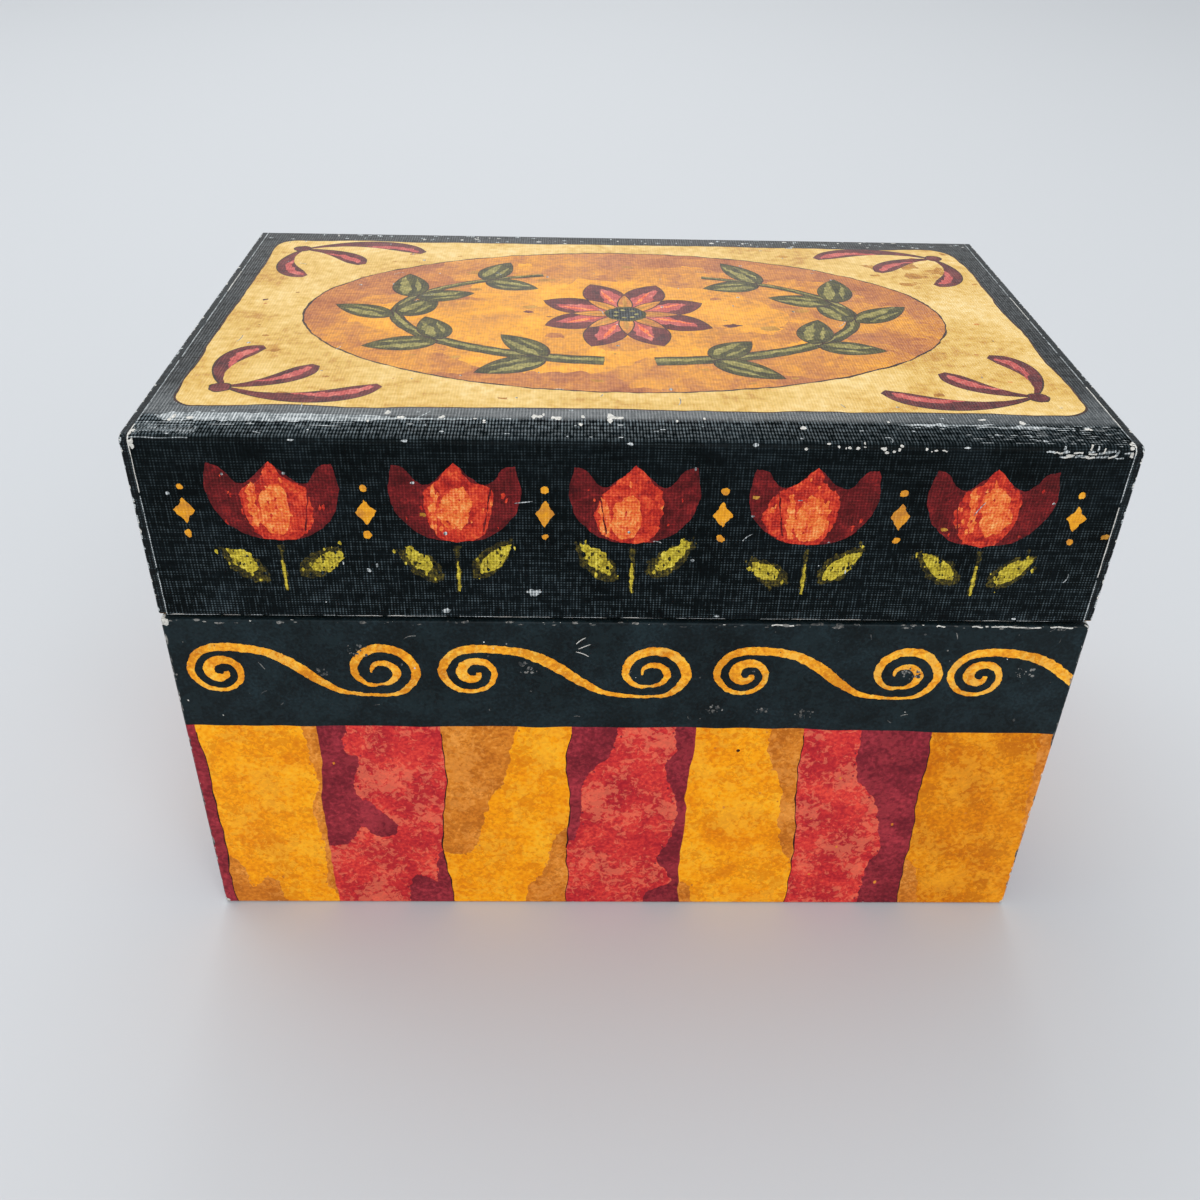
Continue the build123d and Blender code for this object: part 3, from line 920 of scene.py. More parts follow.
# The last numbers of a linen ink: the colour of its painted crest highlight, and the strength of
# that highlight and of its painted valley shade.
linen_black = make_linen_print("linen_print_black_green",
                               ["#04090b", "#080f12", "#0d1518", "#161f22"], 10, 0.6,
                               "#4c595e", 0.6, 0.6)
# Where the print is rubbed, the crests are the pale paper core, with the painted crest highlight
# over them as well.
linen_rubbed = make_linen_print("linen_rubbed_to_core",
                                ["#566064", "#7c8588", "#9ba2a4", "#b4babb"], 2, 0.4,
                                "#d8dcdc", 0.9, 0.6, worn=0.6, matt=0.7)
end_bend_run = quarter * end_bend


def bent_over(excess):
    """A distance past the start of an edge's bend, as the reach past it and the drop."""
    if excess <= 0:
        return excess, 0.0
    angle = min(excess / end_bend, quarter)
    drop = end_bend * (1 - math.cos(angle)) + max(excess - end_bend_run, 0)
    return end_bend * math.sin(angle), drop


def place_end(side, x, z, depth):
    """Fold a point of an end paper over the lid's end; side is -1 left, +1 right."""
    flat_y, flat_z = half_depth - end_bend, lid_top - end_bend
    corner = lid_round - end_bend
    y_over, z_over = abs(x) - (flat_y - corner), z - (flat_z - corner)
    if y_over > 0 and z_over > 0:
        reach = math.hypot(y_over, z_over)
        outward = Vector((y_over, z_over)) / reach
        out, drop = bent_over(reach - corner)
        y = flat_y - corner + outward.x * (corner + out)
        up = flat_z - corner + outward.y * (corner + out)
    else:
        y_out, y_drop = bent_over(abs(x) - flat_y)
        z_out, z_drop = bent_over(z - flat_z)
        low_out, low_drop = bent_over(lid_low + end_bend - z)
        drop = max(y_drop, z_drop, low_drop)
        y = flat_y + y_out if abs(x) > flat_y else abs(x)
        up = min(z, flat_z) + max(z_out, 0)
        if z < lid_low + end_bend:
            up = lid_low + end_bend - low_out
        if y_drop >= max(z_drop, low_drop):
            outward = Vector((1, 0))
        elif z_drop >= low_drop:
            outward = Vector((0, 1))
        else:
            outward = Vector((0, -1))
    angle = math.acos(1 - min(drop / end_bend, 1.0))
    y -= depth * math.sin(angle) * outward.x
    up -= depth * math.sin(angle) * outward.y
    inward = half_width - drop - depth * math.cos(angle)
    return Vector((side * inward, math.copysign(y, x), up))


def end_outline(reach):
    """The lid end's outline, drawn that far outside the start of its edge bend."""
    flat_y, flat_z = half_depth - end_bend, lid_top - end_bend
    corner = lid_round - end_bend
    low = lid_low + end_bend
    ring = [Vector((flat_y + reach, low))]
    for cut in range(9):
        angle = quarter * cut / 8
        ring.append(Vector((flat_y - corner + (corner + reach) * math.cos(angle),
                            flat_z - corner + (corner + reach) * math.sin(angle))))
    return ring + [Vector((-p.x, p.y)) for p in reversed(ring)]


def make_lid_end(name, side):
    strip = end_bend_run + lip - end_bend
    short = 0.4                    # the flap under the lid stops short of the lining
    flap = end_bend_run + lid_skin - end_bend - short
    low = lid_low + end_bend
    outline = end_outline(strip)
    inset = half_depth - lid_skin
    outline += [Vector((end_bend - half_depth, low - 0.1)), Vector((-inset, low - flap)),
                Vector((inset, low - flap)), Vector((half_depth - end_bend, low - 0.1))]
    luck = random.Random(20 + side)
    areas = []

    def rub(ink, x, y, wide, high):
        areas.append((ink, speck(x, y, wide, high, x * 2 + y), None))

    edge = end_outline(end_bend_run * 0.5)
    for a, b in zip(edge, edge[1:]):
        for _ in range(max(1, round((b - a).length / 0.8))):
            at = a.lerp(b, luck.random())
            wear = luck.uniform(0.2, 0.7)
            rub(luck.choice((1, 1, 2)), at.x, at.y, wear, wear * luck.uniform(0.6, 1.6))
    for _ in range(24):
        wear = luck.uniform(0.15, 0.6)
        rub(1, luck.uniform(-44, 44), luck.uniform(lid_low + 1, lid_top - 1), wear, wear * 1.4)
    for _ in range(60):
        rub(luck.choice((1, 2)), luck.uniform(-43, 43), low + luck.uniform(-0.5, 0.1),
            luck.uniform(0.3, 1.4), 0.2)
    folds = []
    for step in range(5):
        ring = end_outline(end_bend_run * step / 4)
        folds += list(zip(ring, ring[1:]))
    past = 100                     # these lines end past the sheet's sides
    for step in range(5):
        y = low - end_bend_run * step / 4
        folds.append((Vector((-past, y)), Vector((past, y))))
    inks = [linen_black, linen_rubbed, torn_paper]

    def place(x, y, depth):
        return place_end(side, x * side, y, depth)

    sheet = make_sheet(name, outline, areas, folds, place, inks)
    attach(sheet, "lid")
    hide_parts(name.replace("_embossed", "_paper"))


make_lid_end("lid_left_embossed", -1)
make_lid_end("lid_right_embossed", 1)

# ---------------------------------------------------------------- lid cover
# One strip of the linen-embossed print: turned in under the lid's front edge, up the
# front, over the top and down the back, and on across the seam, where it is pasted to
# the base's back. Its fold at the seam is the hinge.

tail_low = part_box("hinge_tail")[0].z / MM
cover_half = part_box("lid_cover")[1].x / MM
turned_half = half_width - lid_skin
round_arc = (quarter * lid_round, quarter)
lid_wall = lid_top - lid_round - lid_low
over_lid = (
    Vector((half_depth - lid_skin, lid_low)), 0.0,
    [(lid_skin - edge_bend, 0), edge_arc, (lid_wall - edge_bend, 0), round_arc,
     (2 * (half_depth - lid_round), 0), round_arc, (lid_top - lid_round - tail_low, 0)],
)
front_foot = lid_skin - edge_bend + edge_arc[0]
front_head = front_foot + lid_wall - edge_bend
top_front = front_head + round_arc[0]
top_back = top_front + 2 * (half_depth - lid_round)
cover_end = top_back + round_arc[0] + lid_top - lid_round - tail_low


def place_cover(x, y, depth):
    """Fold a point of the cover over the lid."""
    across, z = walk(over_lid, y, depth)
    return Vector((x, -across, z))


def on_front(z):
    """How far along the cover a height on the lid's front is."""
    return front_foot + z - lid_low - edge_bend


def on_top(y):
    """How far along the cover a depth on the lid's top is."""
    return top_front + y + half_depth - lid_round


# The cover's black ground, with painted highlights on the knots along the front edge and a painted
# sheen behind them.
handled_and_painted_glints = make_linen_print("linen_print_black_handled_painted_glints", ["#03080a", "#070f11", "#0c1417", "#141d21"],
                           10, 0.6, "#5c6a70", 0.75, 0.6, edge=top_front)
# Each ink: its tones, wash and grain in mm, the colour of its painted crest highlight, and how
# strong that highlight and its painted valley shade are.
cover_inks = [handled_and_painted_glints] + [
    make_linen_print("linen_print_" + name, tones.split(), *rest) for name, tones, *rest in (
        ("cream", "#bd8838 #d4ab54 #e2be72 #ebce8e", 18, 1.4, "#f8e6b8", 0.22, 0.1),
        ("ochre_stain", "#96601c #b47c28 #cf9a40", 4, 0.8, "#ecc880", 0.2, 0.16),
        ("copper", "#944f2c #ab6438 #c0783a #d48c3a", 8, 0.9, "#e8b080", 0.22, 0.18),
        ("copper_amber", "#a86236 #c07834 #d68e30 #e89e2c", 6, 0.9, "#f6c884", 0.22, 0.16),
        ("amber", "#bc7832 #d8902c #eca022 #f6b02e", 9, 1.0, "#ffd684", 0.22, 0.14),
        ("olive", "#26240f #3a3618 #504c22 #6c6434", 2.2, 0.5, "#8c8858", 0.3, 0.3),
        ("leaf_light", "#5e5828 #7c743a #988e4a #b6a864", 1.6, 0.4, "#d2c88c", 0.28, 0.25),
        ("wine", "#3c1218 #561e22 #6c2a2a #84403c", 3, 0.5, "#a87068", 0.22, 0.3),
        ("rose", "#98383a #b64a46 #c86058 #da8474", 2.4, 0.5, "#eeb09c", 0.22, 0.2),
        ("maroon", "#440c10 #5a1416 #721a1e #942624", 2.6, 0.4, "#a84840", 0.2, 0.35),
        ("red", "#8c181c #b82820 #dc4028 #f4683a", 1.9, 0.4, "#f8926a", 0.22, 0.28),
        ("orange", "#cc3c22 #ea5e2c #f88840 #ffb46c", 1.5, 0.35, "#ffd0a0", 0.25, 0.22),
        ("outline", "#24140f #38201a #4c2c22", 3, 0.5, "#6c5044", 0.25, 0.3),
        ("dry_olive", "#0c1213 #1c1c10 #484016 #786a24", 0.8, 0.3, "#a09040", 0.25, 0.4),
        ("dry_yellow", "#6a5a16 #ac982c #d8c238 #f0dc5c", 0.9, 0.3, "#f2ea90", 0.22, 0.4),
    )
] + [linen_rubbed, torn_paper]
(GROUND, CREAM, STAIN, COPPER, BLEND, AMBER, OLIVE, LEAF, WINE, ROSE, DARK_RED, CORAL, ORANGE,
 LINE, DRY_OLIVE, DRY_YELLOW, WORN, BARE) = range(18)


def petal(x, y, angle, near, far, width, fullest=0.8):
    """A petal or leaf pointing away from x, y, between two distances from it."""
    ahead = Vector((math.cos(angle), math.sin(angle)))
    across = Vector((-ahead.y, ahead.x))
    sides = []
    for step in range(13):
        t = step / 12
        bulge = width / 2 * math.sin(math.pi * t ** fullest) ** 0.8
        sides.append((near + (far - near) * t, bulge))
    left = [Vector((x, y)) + ahead * reach + across * bulge for reach, bulge in sides]
    right = [Vector((x, y)) + ahead * reach - across * bulge for reach, bulge in sides]
    return left + right[-2:0:-1]


def panel():
    """The cream panel on the top, a little wider in front, with wavy sides and round
    corners."""
    ring = []
    for number, (x, y, round_off) in enumerate(((65.2, 39.4, 5.0), (-65.6, 39.4, 3.5),
                                                (-66.3, -34.6, 3.5), (66.2, -34.6, 3.5))):
        middle_x = x - math.copysign(round_off, x)
        middle_y = y - math.copysign(round_off, y)
        for cut in range(7):
            angle = quarter * (number + cut / 6)
            ring.append(Vector((middle_x + round_off * math.cos(angle),
                                on_top(middle_y + round_off * math.sin(angle)))))
    wavy = []
    for point, following in zip(ring, ring[1:] + ring[:1]):
        cuts = max(1, round((following - point).length / 0.7))
        for cut in range(cuts):
            here = point.lerp(following, cut / cuts)
            wave = noise.noise_vector(Vector((here.x / 11, here.y / 11, 4.4)))
            shake = noise.noise_vector(Vector((here.x / 2, here.y / 2, 9.4)))
            wavy.append(here + 0.7 * wave.xy + 0.15 * shake.xy)
    return wavy


def leaf(x, y, angle, reach, width, seed, within):
    """A painted leaf: dark outline, olive body and light strokes down it."""
    side = Vector((-math.sin(angle), math.cos(angle))) * width * 0.16
    body = ragged(petal(x, y, angle, 0.9, reach, width), 0.4, 0.15, seed)
    light = petal(x + side.x, y + side.y, angle, 1.8, reach - 1.6, width * 0.3)
    streak = petal(x - side.x * 1.3, y - side.y * 1.3, angle, 3.0, reach - 2.6, width * 0.14)
    return [
        (LINE, petal(x, y, angle, 0.6, reach + 0.2, width + 0.3), within),
        (OLIVE, body, within),
        (LEAF, ragged(light, 0.3, 0.45, seed + 1), within),
        (LEAF, ragged(streak, 0.3, 0.3, seed + 2), within),
    ]


def comma(x, y, angle, reach, wide, curve):
    """A folk painter's comma stroke: a round head drawn out to a curved tail."""
    keys = []
    for step in range(9):
        share = step / 8
        turn = angle + curve * (share - 0.5)
        width = wide * (0.35, 0.85, 1.0, 0.97, 0.84, 0.66, 0.46, 0.28, 0.1)[step]
        keys.append(Vector((x + reach * share * math.cos(turn),
                            y + reach * share * math.sin(turn), width)))
    return brushed(through(keys, 0.4))


def disc_pools(x, y, wide, high, disc, luck):
    """Copper and amber washes that run into each other inside the medallion."""
    areas = []

    def inside(nearest, furthest):
        turn, share = luck.uniform(0, math.tau), luck.uniform(nearest, furthest)
        return Vector((x + wide * share * math.cos(turn), y + high * share * math.sin(turn)))

    for ink, count, nearest, furthest, size in ((BLEND, 18, 0.5, 0.84, 19),
                                                (AMBER, 14, 0.15, 0.64, 21),
                                                (BLEND, 7, 0.3, 0.9, 8), (AMBER, 7, 0.5, 0.9, 5)):
        for _ in range(count):
            at = inside(nearest, furthest)
            reach = size * luck.uniform(0.6, 1.1)
            ring = oval(at.x, at.y, reach * 0.75, reach * 0.42)[::2]
            areas.append((ink, ragged(ring, 0.8, 2.4, at.x + at.y), disc))
    for _ in range(60):
        at = inside(0.2, 0.97)
        size = luck.uniform(0.5, 3.2)
        ring = ragged(speck(at.x, at.y, size, size * luck.uniform(0.3, 0.7), at.y), 0.4, 0.6, at.x)
        areas.append((luck.choice((COPPER, WINE, STAIN, AMBER)), ring, disc))
    return areas


def medallion():
    """An oval medallion with a leafy wreath, a rosette and sprays in the corners."""
    x, y = 0.0, on_top(2.9)
    luck = random.Random(31)
    edge = panel()
    inside = [Vector((p.x * 0.9955, y + (p.y - y) * 0.992)) for p in edge]
    areas = [(LINE, ragged(edge, 0.7, 0.12, 3), None), (CREAM, inside, None)]
    cream = 1

    def lay(ink, ring, within=None):
        areas.append((ink, ring, within))

    def stain(at, size, tall, grain, bite, ink=STAIN):
        ring = ragged(speck(at.x, at.y, size, size * tall, at.x), grain, bite, at.y)
        lay(ink, ring, cream)

    def anywhere():
        return Vector((luck.uniform(-63, 63), on_top(luck.uniform(-32, 38))))

    for _ in range(70):
        stain(anywhere(), luck.uniform(0.4, 3.0), luck.uniform(0.4, 0.9), 0.4, 0.5)
    for _ in range(26):
        at = Vector((luck.gauss(56, 5), on_top(luck.gauss(31, 5))))
        stain(at, luck.uniform(0.6, 4.5), luck.uniform(0.4, 0.9), 0.5, 0.9)
    for _ in range(22):
        stain(anywhere(), luck.uniform(0.3, 1.3), 0.6, 0.3, 0.3, luck.choice((WINE, COPPER)))
    wide, high = 54.0, 31.6
    lay(LINE, ragged(oval(x, y, wide, high), 0.8, 0.3, 1))
    lay(COPPER, ragged(oval(x, y, wide - 0.35, high - 0.35), 0.8, 0.25, 2))
    disc = len(areas) - 1
    areas += disc_pools(x, y, wide, high, disc, luck)
    # Wreath: two branches rise from the foot of the oval and nearly meet at its head.
    for side in (-1, 1):
        keys = []
        for step in range(25):
            angle = -quarter + side * math.radians(6 + 152 * step / 24)
            width = 3.0 - 2.0 * step / 24
            keys.append(Vector((x + 38.5 * math.cos(angle), y + 20.0 * math.sin(angle), width)))
        stem = through(keys, 0.6)
        rim_line = [Vector((p.x, p.y, p.z + 0.35)) for p in stem]
        light = [Vector((p.x, p.y + 0.35, p.z * 0.35)) for p in stem]
        lay(LINE, ragged(brushed(rim_line), 0.5, 0.14, side), disc)
        lay(OLIVE, ragged(brushed(stem), 0.5, 0.14, side + 4), disc)
        lay(LEAF, ragged(brushed(light), 0.4, 0.35, side + 8), disc)
        for pair in range(5):
            step = 2 + round(pair * 4.8)
            at, onward = keys[step], keys[min(step + 1, 24)]
            along = math.atan2(onward.y - keys[step - 1].y, onward.x - keys[step - 1].x)
            for lean in (-1, 1):
                swing = along + lean * math.radians(44 + luck.uniform(-9, 9))
                reach = luck.uniform(11.0, 13.2) * (1 if lean * side < 0 else 0.92)
                areas += leaf(at.x, at.y, swing, reach, luck.uniform(5.2, 6.2),
                              pair + 9 * lean + side, disc)
    # Rosette: eight broad petals with eight slim ones in their gaps, round a dark eye.
    for turn in range(8):
        angle = turn * math.tau / 8 + math.tau / 16
        reach = 14.8 + luck.uniform(-0.6, 0.6)
        lay(LINE, petal(x, y, angle, 1.5, reach + 0.2, 7.2, 1.15))
        own = len(areas)
        lay(WINE, petal(x, y, angle, 1.8, reach, 6.8, 1.15))
        swing = angle + luck.uniform(-0.09, 0.09)
        lay(ROSE, ragged(petal(x, y, swing, 2.6, reach - 2.2, 3.4), 0.4, 0.7, turn), own)
        gleam = petal(x, y, swing + 0.05, 5.0, reach - 3.4, 0.8)
        lay(ORANGE, ragged(gleam, 0.3, 0.3, turn), own)
    for turn in range(8):
        angle = turn * math.tau / 8
        lay(LINE, petal(x, y, angle, 1.0, 9.2, 2.8))
        lay(BLEND, petal(x, y, angle, 1.2, 8.8, 2.3))
        lay(STAIN, ragged(petal(x, y, angle, 2.8, 7.6, 0.8), 0.3, 0.2, turn))
    lay(OLIVE, ragged(oval(x, y, 3.5, 3.3), 0.4, 0.3, 5))
    lay(GROUND, ragged(oval(x, y, 2.9, 2.7), 0.4, 0.3, 6))
    for bead in range(7):
        angle = bead * math.tau / 7
        dot = oval(x + 1.8 * math.cos(angle), y + 1.7 * math.sin(angle), 0.4, 0.4)
        lay(LEAF, ragged(dot, 0.3, 0.2, bead))
    # A spray of three plumes, each one comma stroke, with a berry at its root, in each
    # corner of the panel.
    for side_x in (-1, 1):
        for side_y in (-1, 1):
            corner = Vector((side_x * 60.2, on_top(2.9 + side_y * 31.4)))
            hand = side_x * side_y
            for lift, reach, wide, bend in ((0.06, 23.0, 4.0, -0.7), (0.6, 15.0, 4.0, -0.5),
                                            (1.36, 15.5, 3.8, 0.9)):
                outward = math.atan2(-side_y * math.sin(lift), -side_x * math.cos(lift))
                tip = corner + Vector((math.cos(outward), math.sin(outward))) * reach
                curve = bend * hand
                angle = outward + math.pi - 0.5 * curve
                edge = comma(tip.x, tip.y, angle, reach - 0.6, wide + 0.3, curve)
                lay(LINE, edge)
                own = len(areas)
                stroke = comma(tip.x, tip.y, angle, reach - 1.0, wide, curve)
                lay(WINE, ragged(stroke, 0.4, 0.12, lift * 9 + hand))
                gleam = comma(tip.x + 1.2 * math.cos(angle), tip.y + 1.2 * math.sin(angle),
                              angle + 0.03, reach * 0.6, wide * 0.4, curve)
                lay(ROSE, ragged(gleam, 0.3, 0.4, lift * 5 + hand), own)
            lay(LINE, ragged(oval(corner.x, corner.y, 1.7, 1.6), 0.3, 0.2, 8))
            lay(WINE, ragged(oval(corner.x, corner.y, 1.45, 1.35), 0.3, 0.2, 8))
    return areas


def dry_leaf(x, y, angle, reach, seed):
    """A leaf dabbed with a nearly dry brush: dark olive, with yellow dragged over it."""
    luck = random.Random(seed)
    along = Vector((math.cos(angle), math.sin(angle)))
    aside = Vector((-along.y, along.x))
    found = [(DRY_OLIVE, ragged(petal(x, y, angle, 1.2, reach, 3.9), 0.25, 0.8, seed), None)]
    lean = luck.uniform(-0.12, 0.12)
    core = petal(x, y, angle + lean, luck.uniform(1.8, 3.6), reach - 0.5, 2.7)
    found.append((DRY_YELLOW, ragged(core, 0.25, 0.9, seed + 1), None))
    for _ in range(26):
        share = luck.uniform(0.15, 1.05)
        at = Vector((x, y)) + along * (reach * share) + aside * luck.gauss(0, 0.8)
        size = luck.uniform(0.12, 0.5)
        ink = luck.choice((DRY_YELLOW, DRY_OLIVE, DRY_OLIVE, GROUND))
        found.append((ink, ragged(speck(at.x, at.y, size, size * 1.6, at.x), 0.15, 0.15, share),
                      None))
    return found


def tulip(x, low, size, seed):
    """A tulip painted on the lid's front: three dark petals, lit by red and orange washes."""
    luck = random.Random(seed)

    def spot(across, up, width=0.0):
        return Vector((x + across * size, on_front(low + 7.0 + up * size), width))

    cup = [(0, 0), (-4.4, 0.8), (-7.9, 3.9), (-9.3, 8.0), (-8.6, 12.4)]
    lobe = [(-8.6, 12.4), (-6.9, 11.9), (-5.2, 9.7), (-3.4, 9.6), (0, 12.8)]
    left = through([spot(*p) for p in cup], 0.5) + through([spot(*p) for p in lobe], 0.5)[1:]
    ring = [p.xy for p in left] + [Vector((2 * x - p.x, p.y)) for p in reversed(left[1:-1])]
    found = [(DARK_RED, ragged(ring, 0.4, 0.2, seed), None)]
    # The wash covers the middle and runs unevenly into one of the side petals.
    near, far = luck.choice(((-6.6, 3.6), (-4.2, 5.4), (-5.2, 4.4), (-3.4, 6.8)))
    wash = [(0, -0.6), (near * 0.7, 1.0), (near, 4.5), (near * 0.9, 8.2), (near * 0.35, 10.4),
            (0, 13.4), (far * 0.4, 10.2), (far * 0.9, 8.6), (far, 4.8), (far * 0.7, 1.2)]
    wash = [spot(across + luck.uniform(-0.5, 0.5), up) for across, up in wash]
    wash = [p.xy for p in through(wash + wash[:1], 0.5)][:-1]
    found.append((CORAL, ragged(wash, 0.25, 0.7, seed + 1), 0))
    middle = near * 0.35 + far * 0.35 + luck.uniform(-1.4, 1.4)
    for across, broad in ((middle, luck.uniform(3.4, 5.0)),
                          (middle + luck.choice((-3.2, 3.2)), luck.uniform(0.8, 1.6))):
        up, reach = luck.uniform(0.6, 2.4), luck.uniform(6.5, 8.5)
        lean = luck.uniform(-0.25, 0.25)
        line = [spot(across + lean * (step - 3) + luck.uniform(-0.3, 0.3), up + reach * step / 6,
                     broad * (0.45, 0.8, 1.0, 0.85, 0.9, 0.7, 0.3)[step]) for step in range(7)]
        found.append((ORANGE, ragged(brushed(through(line, 0.4)), 0.22, 0.6, seed + up), 1))
    for _ in range(30):
        at = spot(luck.uniform(-7.4, 7.4), luck.uniform(1.5, 11))
        reach = luck.uniform(0.2, 0.55)
        blot = ragged(speck(at.x, at.y, reach, reach * 1.9, seed), 0.2, 0.25, at.x)
        if near < (at.x - x) / size < far:
            found.append((luck.choice((CORAL, ORANGE)), blot, 1))
        else:
            found.append((luck.choice((CORAL, DARK_RED)), blot, 0))
    for side in (-1, 1):
        line = [spot(side * (3.9 + 0.25 * step), 1.6 + 1.5 * step,
                     0.2 + 0.12 * math.sin(step * 2)) for step in range(6)]
        found.append((DARK_RED, ragged(brushed(through(line, 0.4)), 0.25, 0.15, side), 0))
    return found


def lid_front():
    """A row of tulips along the lid's front, with small lozenges between them."""
    areas = []
    luck = random.Random(37)
    for number in range(5):
        x = -50.4 + 25.2 * number
        low = 69.2
        areas += renumbered(len(areas), tulip(x, low, 0.99, number * 3 + 1))
        stem = [Vector((x + 0.3 * noise.noise(Vector((number, k, 0))),
                        on_front(low - 1.5 + k * 2.6), 0.5 + 0.35 * (k % 2))) for k in range(4)]
        areas.append((DRY_OLIVE, ragged(brushed(through(stem, 0.4)), 0.25, 0.3, number), None))
        vein = [Vector((p.x, p.y, p.z * 0.6)) for p in stem[:3]]
        areas.append((DRY_YELLOW, ragged(brushed(through(vein, 0.4)), 0.2, 0.2, number), None))
        for side in (-1, 1):
            angle = quarter - side * math.radians(47 + luck.uniform(-8, 8))
            foot = Vector((x + side * 1.4, on_front(low + luck.uniform(-0.8, 0.4))))
            areas += dry_leaf(foot.x, foot.y, angle, luck.uniform(8.4, 10.4), number * 2 + side)
    for number in range(6):
        x = -63.0 + 25.2 * number
        middle = on_front(81.0)
        diamond = [Vector((x + 1.4 * a, middle + 2.1 * b))
                   for a, b in ((1, 0), (0, 1), (-1, 0), (0, -1))]
        areas.append((AMBER, ragged(diamond, 0.3, 0.3, number), None))
        for up in (-3.8, 3.8):
            areas.append((AMBER, ragged(oval(x, middle + up, 0.55, 0.55)[::4], 0.3, 0.25, up),
                          None))
    return areas


def rubbed_patch(left, right, low, high, bite, seed):
    """A rubbed stretch with ragged sides."""
    middle = (low + high) / 2
    ring = [Vector((left, middle)), Vector((left + 1.2, low)), Vector((right - 5.0, low)),
            Vector((right, middle)), Vector((right - 3.0, high)), Vector((left + 1.5, high))]
    return ragged(ring, 0.25, bite, seed)


